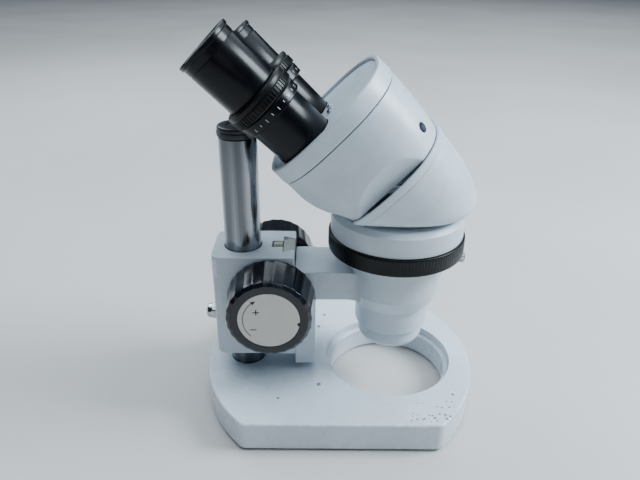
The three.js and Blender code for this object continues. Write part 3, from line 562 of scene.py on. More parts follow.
def build_feet():
    for node in ("foot_back_near", "foot_back_far", "foot_front_near", "foot_front_far"):
        r, top = half_span(node), span(node)[1][Z]
        profile = rounded([(0, 0, 0), (r - 1.2, 0, 0.5), (r, 1.1, 0.6), (r, top, 0.2), (0, top, 0)], False)
        spin(node + "_rubber", profile, "stand", RUBBER, node, at(middle(node, X), middle(node, Y)), SMALL)


def build_pole():
    (_, _, bottom), (_, _, top) = span("pole")
    r, bore, floor = half_span("pole"), POLE.bore, top - POLE.depth
    profile = rounded([(POLE.bolt_bore, bottom, 0), (r, bottom, 0.6), (r, top, 0.8), (bore, top, 0.5), (bore, floor,
            0), (POLE.bolt_bore, floor, 0)])
    spin("pole_tube", profile, "stand", CHROME_DARKENED_FOR_REFLECTION, "pole", at(POLE_X))
    (_, _, bottom), (_, _, crown) = span("pole_cap")
    r, stem, seat = half_span("pole_cap"), bore - GAP, top + GAP
    profile = rounded([(0, bottom, 0), (stem, bottom, 0.6), (stem, seat, 0), (r, seat, 0.5), (r, seat + 3.2, 0.3),
            (r - 0.5, seat + 3.7, 0.3), (r - 0.3, crown, 2.2), (7.5, crown, 0.8), (6.6, crown - 0.7, 0.6), (0,
            crown - 0.7, 0)], False)
    spin("pole_cap_moulding", profile, "stand", CAP_BLACK, "pole_cap", at(POLE_X), MEDIUM)


# ---------------------------------------------------------------- focus block and its parts
SLOT = Sizes(x=-41.3, wide=12, narrow=8, pocket_x=-49.6, pocket=4.8)
BLOCK_LOW, BLOCK_HIGH = span("focus_block")
BLOCK_CORNER = 7
LABEL_LOW, LABEL_HIGH = 103.5, 117.5


def dovetail_outline(grow, mouth):
    slope = (SLOT.wide - SLOT.narrow) / (BLOCK_HIGH[X] - SLOT.x)
    narrow = SLOT.narrow - slope * (mouth - BLOCK_HIGH[X])
    wide, back = SLOT.wide + grow, SLOT.x - grow
    return [(back, -wide), (mouth, -narrow - grow), (mouth, narrow + grow), (back, wide)]


def build_block():
    (x0, y0, bottom), (x1, y1, top) = BLOCK_LOW, BLOCK_HIGH
    corners = [(x1, y0, 0.8), (x1, y1, 0.8), (x0, y1, BLOCK_CORNER), (x0, y0, BLOCK_CORNER)]
    body = raw("block", *slab_mesh(rounded(corners, steps=8), bottom, top, 0.7))
    pocket = rectangle(SLOT.pocket_x, -SLOT.pocket, SLOT.x + 0.1, SLOT.pocket)
    across, back = turned_about((0, 1, 0), (SHAFT_X, 0, SHAFT_Z)), (POLE_X - 10, 0, middle("pole_clamp_screw", Z))
    cuts = [hole_cutter("pole_bore", POLE_X, 0, 13.2, bottom - 5, top, 0.5), raw("dovetail",
            *slab_mesh(dovetail_outline(GAP, x1 + 1), bottom - 5, top + 5)), raw("rack_pocket", *slab_mesh(pocket,
            bottom - 5, top + 5)), rod("shaft_bore", 6.3, -40, 40, across), rod("screw_bore", 3.3, 0, 20,
            turned_about((-1, 0, 0), back))]
    flat_normals(finish_mesh("focus_block_casting", combined(body, cuts=cuts), "block", CAST_PAINT, "focus_block"))
    # a blank paper label on the back corner of the near side
    r, lift = BLOCK_CORNER + 0.1, 0.05
    bend = [(x0 + BLOCK_CORNER - r * cos(a), y0 + BLOCK_CORNER - r * sin(a)) for a in np.linspace(0.1, 1.2, 12)]
    columns = [[(x, y, LABEL_LOW), (x, y, LABEL_HIGH), (x - lift, y - lift, LABEL_HIGH), (x - lift, y - lift,
            LABEL_LOW)] for x, y in bend]
    make("block_label", *skin(columns, False), "block", LABEL)


def build_dovetail():
    low, high = span("dovetail_bar")
    outline = rounded([(x, y, 0.25) for x, y in dovetail_outline(-0.05, high[X])], steps=2)
    slide = slab_mesh(outline, low[Z], high[Z], 0.3, 2)
    flat_normals(make("dovetail_slide", *slide, "carriage", GROUND, "dovetail_bar"))


def build_pole_screw():
    r = half_span("pole_clamp_screw", Z)
    seat = BLOCK_LOW[X] - GAP
    tall = seat - span("pole_clamp_screw")[0][X]
    sixth = pi / 6

    def flats(angle, radius, height):
        if not 0 <= height < tall * 0.5:
            return radius
        return min(radius, 0.9 * r / max(cos((angle + sixth) % (2 * sixth) - sixth), 0.5))

    profile = rounded([(3, -8, 0), (3, 0, 0), (r, 0, 0.3), (r, tall * 0.45, 0.6), (r * 0.9, tall * 0.55, 0.5),
            (r * 0.82, tall * 0.86, 2), (r * 0.35, tall, 1.2), (0, tall, 0)], False)
    place = turned_about((-1, 0, 0), (seat, 0, middle("pole_clamp_screw", Z)))
    spin("pole_screw", [(0, -8)] + profile, "pole_screw", BRIGHT, "pole_clamp_screw", place, 72, flats)


KNOB = Sizes(front=28.7, flutes=26, flute=0.34, plain=25.5, bore=3.3, hub=9, hub_from=2.4, recess=14, wall=21)
NOTCH = Sizes(r=1.6, angle=radians(-8))
ARROW = Sizes(r=17.3, start=radians(128), end=radians(226))


def knob_flute(angle, radius, height):
    """Shallow round grooves side by side, which scallop the front edge."""
    if radius < KNOB.plain:
        return radius
    phase = (angle * KNOB.flutes / (2 * pi)) % 1.0 - 0.5
    return radius - KNOB.flute * max(0.0, 1 - (abs(phase) / 0.42) ** 2)


def build_knobs():
    hub, wall, front, plate = KNOB.hub, KNOB.wall, KNOB.front, 1.3
    for (name, side), body in zip(SIDES, ("near_focus_knob", "focus_shaft")):
        low, high = span(name + "_knob")
        inner = min(abs(low[Y]), abs(high[Y]))
        depth = max(abs(low[Y]), abs(high[Y])) - inner
        plate_r = half_span(name + "_knob_plate")
        profile = rounded([(KNOB.bore, KNOB.hub_from, 0), (hub, KNOB.hub_from, 0.4), (hub, KNOB.recess, 1), (wall,
                KNOB.recess, 1.5), (wall, 0, 0.6), (half_span(name + "_knob"), 0, 1), (front, depth - 2, 1),
                (front - 2.4, depth, 0.5), (plate_r + GAP, depth, 0.3), (plate_r + GAP, depth - plate, 0), (KNOB.bore,
                depth - plate, 0)], steps=4)
        spin(name + "_knob_moulding", divided(profile, 3), body, KNOB_BLACK, name + "_knob", turned_about((0, side,
                0), (SHAFT_X, side * inner, SHAFT_Z)), KNOB.flutes * 14, knob_flute)
        build_knob_plate(name, side, body, plate_r, side * (inner + depth))


def build_knob_plate(name, side, body, r, face):
    """A thin disc with a locating notch, an engraved arc arrow, and a plus and minus sign in place of a word."""
    notch, bite_r = NOTCH.angle, NOTCH.r
    half = asin(bite_r / r)
    rim = [(r * cos(a), r * sin(a)) for a in np.linspace(notch + half, notch + 2 * pi - half, 150)]
    bite = [(r * cos(notch) - bite_r * cos(a + notch),
            r * sin(notch) - bite_r * sin(a + notch)) for a in np.linspace(pi / 2, -pi / 2, 12)[1:-1]]
    # local X, Y, Z are the row's X seen from outside, up, and outwards
    view = Matrix(((-side, 0, 0, 0), (0, 0, side, 0), (0, 1, 0, 0), (0, 0, 0, 1)))
    place = at(SHAFT_X, face - side, SHAFT_Z) @ view
    disc = slab_mesh(rim + bite, 0, 1.0, 0.12, 2)
    flat_normals(make(name + "_plate", *disc, body, PLATE, name + "_knob_plate", place))
    outer, inner = (arc(0, 0, ARROW.r + grow, ARROW.start, ARROW.end, 40) for grow in (0.275, -0.275))
    head = [(ARROW.r + out, ARROW.start + turn) for out, turn in ((0, -0.17), (1.5, 0.03), (-1.5, 0.03))]
    ink = [outer + inner[::-1], [(q * cos(a), q * sin(a)) for q, a in head]]
    for x, y, wide, tall in ((-8.2, 6.4, 4.4, 0.8), (-8.2, 6.4, 0.8, 4.4), (-10.4, -7.2, 4.4, 0.8)):
        ink.append(rectangle(x - wide / 2, y - tall / 2, x + wide / 2, y + tall / 2))
    for i, outline in enumerate(ink):
        make(f"{name}_plate_mark_{i}", *slab_mesh(outline, 0.95, 1.04), body, INK, place=place)


# ---------------------------------------------------------------- carriage, arm and holder
CARRIAGE = Sizes(top=107.8, half=20, thick=14.5)
ARM = Sizes(bottom=85.7, half=19.5, blend=14, end=34.2)
HOLDER = Sizes(lip_r=27, bore=31, lip_top=84, waist=90.4, bottom_r=29.4, bottom=49.6, waist_r=33.8, top_r=36)
STAGE_AXIS = at(STAGE_X)


def arm_outline(radius):
    """The arm seen from above, flowing into a circle round the stage axis by concave arcs."""
    half, blend = ARM.half, ARM.blend
    start = span("carriage_arm")[0][X] + 8
    cy = half + blend
    cx = STAGE_X - sqrt((radius + blend) ** 2 - cy ** 2)
    far = arc(cx, cy, blend, -pi / 2, atan2(-cy, STAGE_X - cx), 10)
    near = [(x, -y) for x, y in far]
    return [(start, -half)] + near + [(STAGE_X, -radius * 0.5), (STAGE_X, radius * 0.5)] + far[::-1] + [(start, half)]


def build_carriage():
    low, high = span("carriage_arm")
    top, rim, bore, lip = high[Z], CARRIAGE.top, HOLDER.bore, HOLDER.lip_top
    corners = rectangle(low[X], -CARRIAGE.half, low[X] + CARRIAGE.thick, CARRIAGE.half)
    body = raw("carriage", *slab_mesh(rounded([(x, y, 0.6) for x, y in corners], steps=3), low[Z], rim, 0.6))
    arm = raw("arm", *slab_mesh(arm_outline(ARM.end), ARM.bottom, rim - 0.05, 0.7, 3))
    foot = low[Z] + HOLDER.bottom
    boss = rounded([(0, foot, 0), (HOLDER.bottom_r, foot, 1.0), (HOLDER.waist_r, HOLDER.waist, 4), (HOLDER.top_r, top,
            0.6), (0, top, 0)], False)
    hole = [(0, 0), (HOLDER.lip_r, 0), (HOLDER.lip_r, lip), (bore, lip), (bore, top - 0.4), (bore + 0.4, top),
            (bore + 0.4, top + 5), (0, top + 5)]
    screw = turned_about((1, 0, 0), (STAGE_X, 0, middle("head_clamp_screw", Z)))
    mesh = combined(body, cuts=[raw_round("bore", hole, STAGE_AXIS, FINE), rod("screw_hole", 2.3, 0, 45, screw)],
            joins=[arm, raw_round("boss", boss, STAGE_AXIS, FINE)])
    flat_normals(finish_mesh("carriage_casting", mesh, "carriage", CAST_PAINT, "carriage_arm"))


def build_head_screw():
    low, high = span("head_clamp_screw")
    r, length = half_span("head_clamp_screw", Z), high[X] - low[X]
    neck = length - 13.3

    def knurl(angle, radius, z):
        return radius - (0.18 if radius > r - 0.1 and cos(angle * 24) > 0 else 0)

    profile = rounded([(0, 0, 0), (2, 0, 0.3), (2, neck, 0), (r - 0.4, neck, 0.3), (r, neck + 1.2, 0.3), (r,
            length - 1, 0.4), (r - 0.7, length, 0.4), (0, length, 0)], False)
    place = turned_about((1, 0, 0), (low[X], 0, middle("head_clamp_screw", Z)))
    spin("head_screw", profile, "head_screw", BRIGHT, "head_clamp_screw", place, MEDIUM, knurl)


# ---------------------------------------------------------------- barrels, zoom ring, neck
ZOOM_RIBS = 132


def build_barrels():
    seat = HOLDER.lip_top + GAP
    step = span("carriage_arm")[1][Z] + GAP
    (_, _, bottom), (_, _, top) = span("optics_barrel")
    wide = half_span("optics_barrel")
    barrel = rounded([(23.3, bottom, 0.3), (26.3, bottom, 0.9), (26.3, seat, 0.3), (30.6, seat, 0.3), (30.6, step, 0),
            (wide, step, 0.3), (wide, top, 0.3), (23.3, top, 0.3)], steps=4)
    (_, _, bottom), (_, _, top) = span("nose_ring")
    r = half_span("nose_ring")
    nose = rounded([(19, bottom, 0.5), (r - 2.1, bottom, 1.2), (r, bottom + 3.4, 2.5), (r, top, 0.4), (19, top, 0.3)])
    (_, _, bottom), (_, _, top) = span("neck")
    r = half_span("neck")
    neck = rounded([(24, bottom, 0.3), (r, bottom, 0.4), (r, top - 3.2, 0.8), (r - 3.4, top, 1.2), (24, top, 0.3)])
    for name, profile, node in (("barrel", barrel, "optics_barrel"), ("nose", nose, "nose_ring"), ("neck", neck,
            "neck")):
        spin(name + "_casting", profile, "head", CAST_PAINT, node, STAGE_AXIS)


def build_zoom_ring():
    (_, _, bottom), (_, _, top) = span("zoom_ring")
    r, inner, mid, half = half_span("zoom_ring"), 39.7, (bottom + top) / 2, (top - bottom) / 2
    edge = half - 1.3

    def rib(angle, radius, z):
        if radius < r - 0.2 or abs(z - mid) > half - 1.6:
            return radius
        return radius - 0.28 * (((angle * ZOOM_RIBS / (2 * pi)) % 1.0) < 0.34)

    profile = rounded([(inner, bottom, 0.2), (r - 0.25, bottom, 0.7), (r, mid - edge, 0.2), (r, mid - edge + 0.3, 0),
            (r, mid + edge - 0.3, 0), (r, mid + edge, 0.2), (r - 0.25, top, 0.7), (inner, top, 0.2)], steps=3)
    spin("zoom_grip", profile, "zoom_control", BLACK_RING, "zoom_ring", STAGE_AXIS, ZOOM_RIBS * 6, rib)


# ---------------------------------------------------------------- head
HEAD = Sizes(x=-14.7, z=214.9, tilt=45.5, half_t=47.5, half_y=45.5, power=2.6, soften=0.3, straight=30, wall=2.4,
        floor=151.2)
RIM = Sizes(depth=11.5, lip=2.6, recess=2, plate=2.5)
LIP = Sizes(n=-58.4, width=5.0, proud=2.2)
LIP_TOP, LIP_BOTTOM = LIP.n + LIP.width / 2, LIP.n - LIP.width / 2
FLANK = Sizes(t=4.5, y=42.0, n=-50.5, slope_t=-0.05, slope_n=0.35, soft=0.05)
SIDE_PLUG = Sizes(t=41.5, n=-43.5, r=3.2, hole=3.5)
SWING = Sizes(t=14, y=12, holes=(0, 1.4, 2.8))
# How the section of the head fans out about a pivot from the face plane (turn 1) down to the floor (turn 0):
# turn, near end, far end, half width.
PIVOT = (-18, 150)
FAN = [(1, 4, 95, 45.5), (0.8, 5, 94.6, 45.6), (0.62, 6, 97.4, 45.8), (0.44, 7, 101.6, 46), (0.28, 8, 105, 46), (0.14,
        9, 107, 45.4), (0.03, 10.5, 106, 43.6), (0, 12, 103.6, 41.8)]
UNDERSIDE = Sizes(radius=10.0, centre=(36.0, 0.0))
TILT = radians(HEAD.tilt)
OUT = np.array([-sin(TILT), 0, cos(TILT)])    # out of the face
UP = np.array([cos(TILT), 0, sin(TILT)])      # up its slope
FACE = np.array([HEAD.x, 0, HEAD.z])
HEAD_MATRIX = at(*FACE) @ Matrix((UP, (0, 1, 0), OUT)).transposed().to_4x4()
AROUND = 260
EVEN_ANGLES = np.linspace(0, 2 * pi, AROUND, endpoint=False)


def spline(stations, values, at_stations):
    """Cubic Hermite interpolation through values at rising stations."""
    rate = np.gradient(values, stations, axis=0)
    k = np.clip(np.searchsorted(stations, at_stations, side="right") - 1, 0, len(stations) - 2)
    width = stations[k + 1] - stations[k]
    f = (at_stations - stations[k]) / width
    f2, f3 = f * f, f * f * f
    a, b, c, d = 2 * f3 - 3 * f2 + 1, f3 - 2 * f2 + f, -2 * f3 + 3 * f2, f3 - f2
    a, b, c, d, width = (q.reshape(-1, 1) for q in (a, b, c, d, width))
    return a * values[k] + b * width * rate[k] + c * values[k + 1] + d * width * rate[k + 1]


def head_rows():
    """Sections from the face down: back end and front end in the plane of symmetry, half width, power."""
    rows = []
    for n in (0, -HEAD.straight / 2, -HEAD.straight):
        centre = FACE + OUT * n
        a, b = centre - UP * HEAD.half_t, centre + UP * HEAD.half_t
        rows.append((a[0], a[2], b[0], b[2], HEAD.half_y, HEAD.power))
    for turn, near, reach, half_y in FAN:
        dx, dz = cos(TILT * turn), sin(TILT * turn)
        ends = [PIVOT[0] + near * dx, PIVOT[1] + near * dz, PIVOT[0] + reach * dx, PIVOT[1] + reach * dz]
        rows.append((*ends, half_y, HEAD.power - HEAD.soften * (1 - turn)))
    return np.array(rows)


def head_grid(angles, levels=220):
    """Points of the smooth head surface: one column for each angle, from the face plane down."""
    rows = head_rows()
    steps = np.hypot(np.diff(rows[:, 2]), np.diff(rows[:, 3])) + np.hypot(np.diff(rows[:, 0]), np.diff(rows[:, 1]))
    stations = np.concatenate([[0], np.cumsum(steps)])
    dense = spline(stations, rows, np.linspace(0, stations[-1], levels))
    c, s = np.cos(angles)[:, None], np.sin(angles)[:, None]
    power = dense[:, 5][None, :]
    f = (np.sign(c) * np.abs(c) ** (2 / power) + 1) / 2
    y = dense[:, 4] * np.sign(s) * np.abs(s) ** (2 / power)
    x = dense[:, 0] + (dense[:, 2] - dense[:, 0]) * f
    z = dense[:, 1] + (dense[:, 3] - dense[:, 1]) * f
    return np.stack([x, y, z], 2)


def n_of(points):
    return (points - FACE) @ OUT


def t_of(points):
    return (points - FACE) @ UP


def crossing(values, level):
    """Fractional index at which falling values first reach level."""
    below = np.nonzero(values <= level)[0]
    if len(below) == 0:
        return len(values) - 1.0
    k = below[0]
    if k == 0:
        return 0.0
    return k - 1 + (values[k - 1] - level) / (values[k - 1] - values[k])


def cut_columns(grid, n_from, n_to, count):
    """Each column between two planes parallel to the face, ended by the floor where that comes first."""
    out = []
    for column in grid:
        n = n_of(column)
        start = crossing(n, n_from)
        end = min(crossing(n, n_to), crossing(column[:, 2], HEAD.floor))
        stops = np.linspace(start, max(end, start), count)
        out.append(np.stack([np.interp(stops, np.arange(len(column)), column[:, k]) for k in range(3)], 1))
    return np.array(out)


def tuck_in(grid):
    """Rounds the lower edge of the head where its side meets the floor."""
    radius = UNDERSIDE.radius
    depth = np.clip((HEAD.floor + radius - grid[:, :, 2]) / radius, 0, 1)
    inset = radius * (1 - np.sqrt(1 - depth ** 2))
    flat = grid[:, :, :2] - np.array(UNDERSIDE.centre)
    out = grid.copy()
    out[:, :, :2] -= flat / norm(flat, axis=2, keepdims=True) * inset[:, :, None]
    return out


def flatten_flanks(grid):
    """Presses the flanks in to a slanted plane, with a narrow soft crease where the flat begins."""
    out = grid.copy()
    plane = FLANK.y + FLANK.slope_t * (t_of(grid) - FLANK.t) + FLANK.slope_n * (n_of(grid) - FLANK.n)
    y = np.abs(grid[:, :, 1])
    k = FLANK.soft
    blend = np.clip(0.5 + 0.5 * (plane - y) / k, 0, 1)
    out[:, :, 1] = np.sign(grid[:, :, 1]) * (plane + (y - plane) * blend - k * blend * (1 - blend))
    return out


def grid_normals(grid, wrap):
    """Outward normals of a grid of points."""
    across = np.roll(grid, -1, axis=0) - np.roll(grid, 1, axis=0) if wrap else np.gradient(grid, axis=0)
    normal = np.cross(across, np.gradient(grid, axis=1))
    normal = normal / np.maximum(norm(normal, axis=2, keepdims=True), 1e-12)
    return -normal if np.sum(normal * (grid - grid.mean(axis=(0, 1)))) < 0 else normal


def corner_arc(before, corner, after, reach, steps=4):
    """A rounded corner between two directions, as a quadratic curve."""
    ends = []
    for other in (before, after):
        length = norm(other - corner)
        ends.append(corner + (other - corner) / max(length, 1e-9) * min(reach, 0.45 * length))
    p, q = ends
    return [(1 - f) ** 2 * p + 2 * f * (1 - f) * corner + f * f * q for f in np.linspace(0, 1, steps + 1)]


def shell(grid, wall, wrap, edge, push=0):
    """A closed sheet of a given wall thickness under a grid of surface points, with rounded edges."""
    normal = grid_normals(grid, wrap)
    columns = []
    for o, i in zip(grid + normal * push, grid - normal * wall):
        loop = corner_arc(i[0], o[0], o[1], edge) + list(o[1:-1]) + corner_arc(o[-2], o[-1], i[-1], edge)
        columns.append(loop + list(i[::-1]))
    return skin(columns, wrap)


def plug_matrix(side):
    """A place on the rounded flank of the upper shell, with local +Z pointing out of it."""
    half_t, half_y, power = HEAD.half_t, HEAD.half_y, HEAD.power
    along = SIDE_PLUG.t / half_t
    across = (1 - along ** power) ** (1 / power)
    normal = Vector((along ** (power - 1) / half_t, side * across ** (power - 1) / half_y, 0)).normalized()
    turn = Vector((0, 0, 1)).rotation_difference(normal).to_matrix().to_4x4()
    return HEAD_MATRIX @ at(SIDE_PLUG.t, side * across * half_y, SIDE_PLUG.n) @ turn


def build_upper_shell():
    cut = cut_columns(head_grid(EVEN_ANGLES), -RIM.depth - 0.6, LIP_TOP + GAP, 110)
    body = raw("upper", *shell(tuck_in(flatten_flanks(cut)), HEAD.wall, True, 0.45))
    cuts = [rod("plug_hole", SIDE_PLUG.hole, -6, 5, plug_matrix(side)) for _, side in SIDES]
    finish_mesh("upper_housing", combined(body, cuts=cuts), "head", HEAD_PAINT, "upper_shell")


def floor_angle(angles, n_level):
    """The angle at which a plane parallel to the face meets the floor on the flank."""
    for angle, column in zip(angles, head_grid(angles)):
        if crossing(column[:, 2], HEAD.floor) <= crossing(n_of(column), n_level):
            return angle
    return pi


def band_grid(n_from, n_to, count):
    """Columns of the head between two planes, where they lie above the floor."""
    end = floor_angle(np.linspace(0.3 * pi, pi, 400), n_from - 0.6)
    return tuck_in(cut_columns(head_grid(np.linspace(-end, end, AROUND)), n_from, n_to, count))


def build_lip():
    grid = band_grid(LIP_TOP, LIP_BOTTOM, 12)
    fade = np.linspace(0, 1, grid.shape[1])
    push = (LIP.proud - 0.5 * fade ** 2)[None, :, None]
    make("lip_collar", *shell(grid, -0.3, False, 0.55, push), "head", HEAD_PAINT, "lip_ring")


def build_lower_shell():
    grid = band_grid(LIP_BOTTOM - GAP, -400, 110)
    start = norm(grid - grid[:, :1], axis=2)
    push = (1.25 * np.exp(-(start / 9.0) ** 2))[:, :, None]
    make("lower_housing", *shell(grid, HEAD.wall, False, 0.35, push), "head", HEAD_PAINT, "lower_shell")


def face_outline(inset, n):
    power = 2 / HEAD.power
    c, s = np.cos(EVEN_ANGLES), np.sin(EVEN_ANGLES)
    t = (HEAD.half_t - inset) * np.sign(c) * np.abs(c) ** power
    y = (HEAD.half_y - inset) * np.sign(s) * np.abs(s) ** power
    return FACE + np.outer(t, UP) + np.outer(y, (0, 1, 0)) + OUT * n


def build_rim():
    lip, bottom = RIM.lip, -RIM.depth + 0.2
    profile = rounded([(-0.5, bottom, 0.4), (-0.2, 0.0, 0.9), (lip, 0.0, 0.7), (lip, bottom, 0.2)])
    rings = np.array([face_outline(inset, n) for inset, n in divided(profile, 2.5)])
    make("rim_casting", *skin(rings.transpose(1, 0, 2), True), "head", HEAD_PAINT, "face_rim")


def tube_matrix(side):
    lean = Matrix.Rotation(-side * radians(TUBE.yaw), 4, "X")
    return HEAD_MATRIX @ at(TUBE.t, side * TUBE.y) @ lean


def swing_matrix(side, degrees):
    pivot = HEAD_MATRIX @ Vector((SWING.t, side * SWING.y, 0))
    return at(*pivot) @ Matrix.Rotation(radians(side * degrees), 4, Vector(OUT)) @ at(*-pivot)


def build_face_plate():
    inset, top = RIM.lip + GAP, -RIM.recess
    outline = [(0, top - RIM.plate), (0, top - 0.3), (0.3, top)]
    body = raw("plate", *stacked([face_outline(inset + a, n) for a, n in outline]))
    cuts = [rod("tube_hole", TUBE.r + 0.6, -16, 16, swing_matrix(side, swing) @ tube_matrix(side), MEDIUM) for _,
            side in SIDES for swing in SWING.holes]
    flat_normals(finish_mesh("face_cover", combined(body, cuts=cuts), "head", HEAD_PAINT, "face_plate"))


def slotted_screw(name, r, tall, place, replaces):
    """A low cheese-head screw with a straight slot."""
    head = raw_round("screw", rounded([(0, 0, 0), (r, 0, 0.1), (r, tall, 0.35), (0, tall, 0)], False, 4), place)
    slot = slab_mesh(rectangle(-r - 1, -0.3, r + 1, 0.3), tall * 0.45, tall + 1)
    finish_mesh(name, combined(head, cuts=[raw("slot", *slot, place)]), "head", BRIGHT, replaces)


def build_face_trim():
    r = SIDE_PLUG.r
    profile = rounded([(0, -3.2, 0), (r, -3.2, 0.2), (r, -0.5, 0.4), (2, -0.9, 0.3), (0, -1.1, 0)], False)
    for name, side in SIDES:
        place = HEAD_MATRIX @ at(4.5, side * 6, -RIM.recess) @ Matrix.Rotation(0.6 * side, 4, "Z")
        slotted_screw(name + "_plate_screw", 2.1, 1.4, place, name + "_face_screw")
        spin(name + "_plug", profile, "head", PLUG, name + "_side_plug", plug_matrix(side), SMALL)


# ---------------------------------------------------------------- eye tubes and eyepieces
TUBE = Sizes(t=-16.5, y=22.2, yaw=3.3, r=18.6, bore=16.6, bottom=-14, scale_from=25.5, scale_to=32.5, scale_r=21.4)
SCALE = Sizes(start=radians(40), step=radians(13.4), marks=range(-5, 7), screw=8.2, lift=-0.1)
DIOPTER = Sizes(bottom=32.8, top=42.3, r=22.4, bore=18.5, knurl_from=34.0, knurl_to=37.8, knurls=60)
EYEPIECE = Sizes(r=18.1, sleeve=16.2, lip_r=19, top=72, bore=14.5, barrel=33, near_rise=9.2)


def on_scale(angle, z):
    """Frame on the scale ring's surface: X round it, Y along the tube, Z outwards."""
    out = Vector((cos(angle), sin(angle), 0))
    basis = Matrix((Vector((-out.y, out.x, 0)), Vector((0, 0, 1)), out)).transposed().to_4x4()
    r = TUBE.scale_r + SCALE.lift
    return at(out.x * r, out.y * r, z) @ basis


def build_scale(name, side, place):
    """Ticks, the digit 0 as a flat oval ring, and a small screw beside them."""
    foot, body = TUBE.scale_from, name + "_tube"
    for k in SCALE.marks:
        angle = side * SCALE.start + side * k * SCALE.step
        if k == 0:
            sizes = ((0.95, 1.4, -0.25), (0.95, 1.4, 0.03), (0.5, 0.9, 0.03), (0.5, 0.9, -0.25))
            loop = [[(w * cos(a), h * sin(a), z) for w, h, z in sizes] for a in np.linspace(0, 2 * pi, 32,
                    endpoint=False)]
            make(name + "_zero", *skin(loop, True), body, WHITE_INK, place=place @ on_scale(angle, foot + 3.4))
            continue
        half = 0.8 if k % 2 else 1.15
        mark = slab_mesh(rectangle(-0.14, -half, 0.14, half), -0.25, 0.02)
        make(f"{name}_tick_{k + 8}", *mark, body, WHITE_INK, place=place @ on_scale(angle, foot + 3.9 - half))
    profile = rounded([(0, -0.5, 0), (0.8, -0.5, 0), (0.8, 0.1, 0.15), (0.35, 0.1, 0.1), (0.25, -0.15, 0), (0, -0.15,
            0)], False)
    spot = place @ on_scale(side * SCALE.start - side * SCALE.step * SCALE.screw, foot + 3.2)
    spin(name + "_scale_screw", profile, body, BRIGHT, None, spot, 24)


def build_eye_tube(name, place):
    bore, r, foot, top, wide = TUBE.bore, TUBE.r, TUBE.scale_from, TUBE.scale_to, TUBE.scale_r
    profile = rounded([(bore, TUBE.bottom, 0.2), (r, TUBE.bottom, 0.3), (r, foot - 0.8, 0.3), (wide - 0.2, foot, 0.5),
            (wide, top - 0.9, 0.2), (wide - 0.5, top, 0.3), (bore, top, 0.2)], steps=4)
    spin(name + "_tube", profile, name + "_tube", BLACK, name + "_eye_tube", place, 128)


def build_diopter(name, place):
    r, bore, foot, top = DIOPTER.r, DIOPTER.bore, DIOPTER.bottom, DIOPTER.top
    low, high = DIOPTER.knurl_from, DIOPTER.knurl_to

    def knurl(angle, radius, z):
        if radius < r - 0.05 or not low - 0.01 <= z <= high + 0.01:
            return radius
        return radius - 0.5 * (((angle * DIOPTER.knurls / (2 * pi)) % 1.0) < 0.45)

    profile = rounded([(bore, foot, 0.2), (r - 0.5, foot, 0.3), (r, foot + 0.6, 0.2)], False)
    profile = profile[:-1] + [(r, foot + 0.9), (r, low), (r, high), (r, high + 0.3)]
    upper = rounded([(r, high + 0.3, 0), (r - 0.1, high + 0.5, 0.1), (r - 1.0, high + 0.7, 0.1), (r - 1.0, high + 1.3,
            0.1), (r - 0.4, high + 1.5, 0.2), (r - 0.4, top - 1.0, 0.4), (r - 1.2, top, 0.3), (bore, top, 0)], False)
    spin(name + "_diopter", profile + upper[1:], name + "_diopter", BLACK_RING, name + "_diopter_ring", place,
            DIOPTER.knurls * 8, knurl)


def build_eyepiece(name, side, place):
    e = EYEPIECE
    top, r, bore, wide, sleeve = e.top, e.r, e.bore, e.lip_r, e.sleeve
    up = place @ at(0, 0, EYEPIECE.near_rise if side < 0 else 0)
    profile = rounded([(bore, 2, 0.2), (sleeve, 2, 0.3), (sleeve, EYEPIECE.barrel, 0), (r, EYEPIECE.barrel, 0.5), (r,
            top - 8.2, 0.15), (r - 0.35, top - 8.0, 0.1), (r - 0.35, top - 7.6, 0.1), (r, top - 7.4, 0.15), (r,
            top - 3.2, 0.2), (wide - 0.2, top - 2.8, 0.4), (wide, top - 0.3, 0.6), (wide - 0.8, top, 0.4),
            (bore + 1.6, top - 0.6, 0.6), (bore, top - 3.4, 0.6)], steps=4)
    spin(name + "_ocular", profile, name + "_ocular", BLACK, name + "_eyepiece", up, 128)
    lens = bore - GAP
    bulge = [(0, top - 8)] + rounded([(0, top - 8, 0), (lens, top - 8, 0.3), (lens, top - 5, 0.2)], False)[1:]
    bulge += [(lens * cos(a), top - 5 + 1.8 * sin(a)) for a in np.linspace(0, pi / 2, 10)[1:-1]]
    spin(name + "_ocular_lens", bulge + [(0, top - 3.2)], name + "_ocular", GLASS, name + "_eye_lens", up, MEDIUM)


def build_eyepieces():
    for name, side in SIDES:
        place = tube_matrix(side)
        build_eye_tube(name, place)
        build_scale(name, side, place)
        build_diopter(name, place)
        build_eyepiece(name, side, place)


# ---------------------------------------------------------------- CAD nodes that stay
def dress_remaining():
    looks = ((BRIGHT, "pole_bolt zoom_rod_back zoom_rod_front"), (NYLON, "pole_liner"), (GROUND,
            "pinion_shaft tension_washer zoom_cam_sleeve"), (BRASS, "shaft_bush_near shaft_bush_far rack"), (INNER,
            "zoom_lens_carriage near_objective_cell far_objective_cell"), (GLASS,
            "near_objective_lens far_objective_lens near_prism_block far_prism_block near_field_lens far_field_lens"),)
    for (_, material), nodes in looks:
        for node in nodes.split():
            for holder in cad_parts[node].material_slots:
                holder.material = material


# ---------------------------------------------------------------- stage, light and camera
def build_stage():
    bpy.ops.mesh.primitive_plane_add(size=16)
    floor = bpy.context.object
    floor.name = "floor"
    m = Nodes("pale_floor", (0.58, 0.56, 0.54), 0.6)
    cloud = m.noise(3.0)
    tint = m.mix(m.ramp(cloud, 0.3, 0.7), (0.57, 0.55, 0.53), (0.60, 0.58, 0.56))
    floor.data.materials.append(m.finish(tint, m.ramp(cloud, 0.3, 0.7, 0.55, 0.65)))


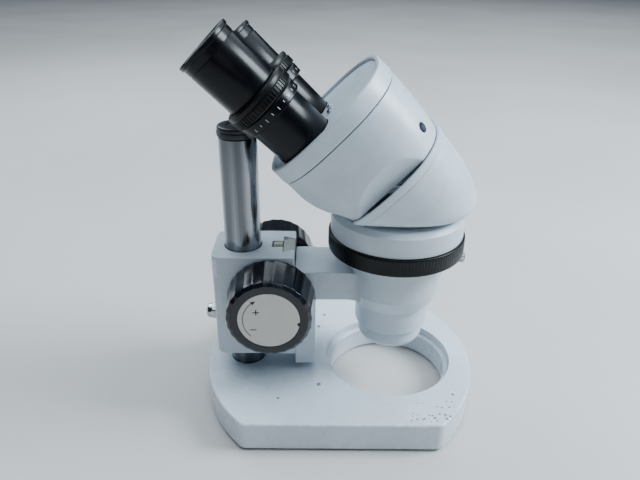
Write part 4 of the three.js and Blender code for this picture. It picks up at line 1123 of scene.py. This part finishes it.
def area_light(name, place, target, size, power, color):
    data = bpy.data.lights.new(name, "AREA")
    data.shape = "RECTANGLE"
    data.size, data.size_y = size
    data.energy = power
    data.color = color
    lamp = linked(name, data)
    lamp.location = place
    lamp.rotation_euler = (Vector(target) - Vector(place)).to_track_quat("-Z", "Y").to_euler()


def build_lights():
    aim = (0, 0, 0.12)
    area_light("ceiling", (0.5, 0.5, 2.4), (0, 0, 0), (4.5, 4.5), 140, (0.78, 0.90, 1.0))
    area_light("key", (1.15, 0.0, 1.0), aim, (0.6, 0.6), 34, (0.80, 0.92, 1.0))
    area_light("back_left", (-0.75, 0.85, 0.95), (-0.03, 0, 0.02), (0.9, 0.7), 9, (0.78, 0.90, 1.0))
    area_light("front_fill", (0.2, -1.5, 0.8), aim, (1.1, 0.8), 1.0, (1.0, 0.97, 0.94))
    world = bpy.data.worlds.new("room")
    world.use_nodes = True
    background = world.node_tree.nodes["Background"].inputs
    background["Color"].default_value = (0.60, 0.70, 0.95, 1)
    background["Strength"].default_value = 0.06
    bpy.context.scene.world = world


def build_camera():
    """A camera close in front of the object, a little above its top, looking down at it."""
    heading, drop, roll = radians(-0.235), radians(26.86), radians(0.603)
    data = bpy.data.cameras.new("camera")
    data.lens = 33.51
    data.sensor_width = 36
    data.clip_start = 0.01
    camera = linked("camera", data)
    look = Vector((-sin(heading) * cos(drop), cos(heading) * cos(drop), -sin(drop)))
    right = look.cross(Vector((0, 0, 1))).normalized()
    up = right.cross(look)
    right, up = (cos(roll) * right + sin(roll) * up), (-sin(roll) * right + cos(roll) * up)
    camera.matrix_world = at(-0.017175, -0.37610, 0.31364) @ Matrix((right, up, -look)).transposed().to_4x4()
    bpy.context.scene.camera = camera


for build in (build_base, build_feet, build_pole, build_block, build_dovetail, build_pole_screw, build_knobs,
        build_carriage, build_head_screw, build_barrels, build_zoom_ring, build_upper_shell, build_lip,
        build_lower_shell, build_rim, build_face_plate, build_face_trim, build_eyepieces, dress_remaining,
        build_stage, build_lights, build_camera):
    build()
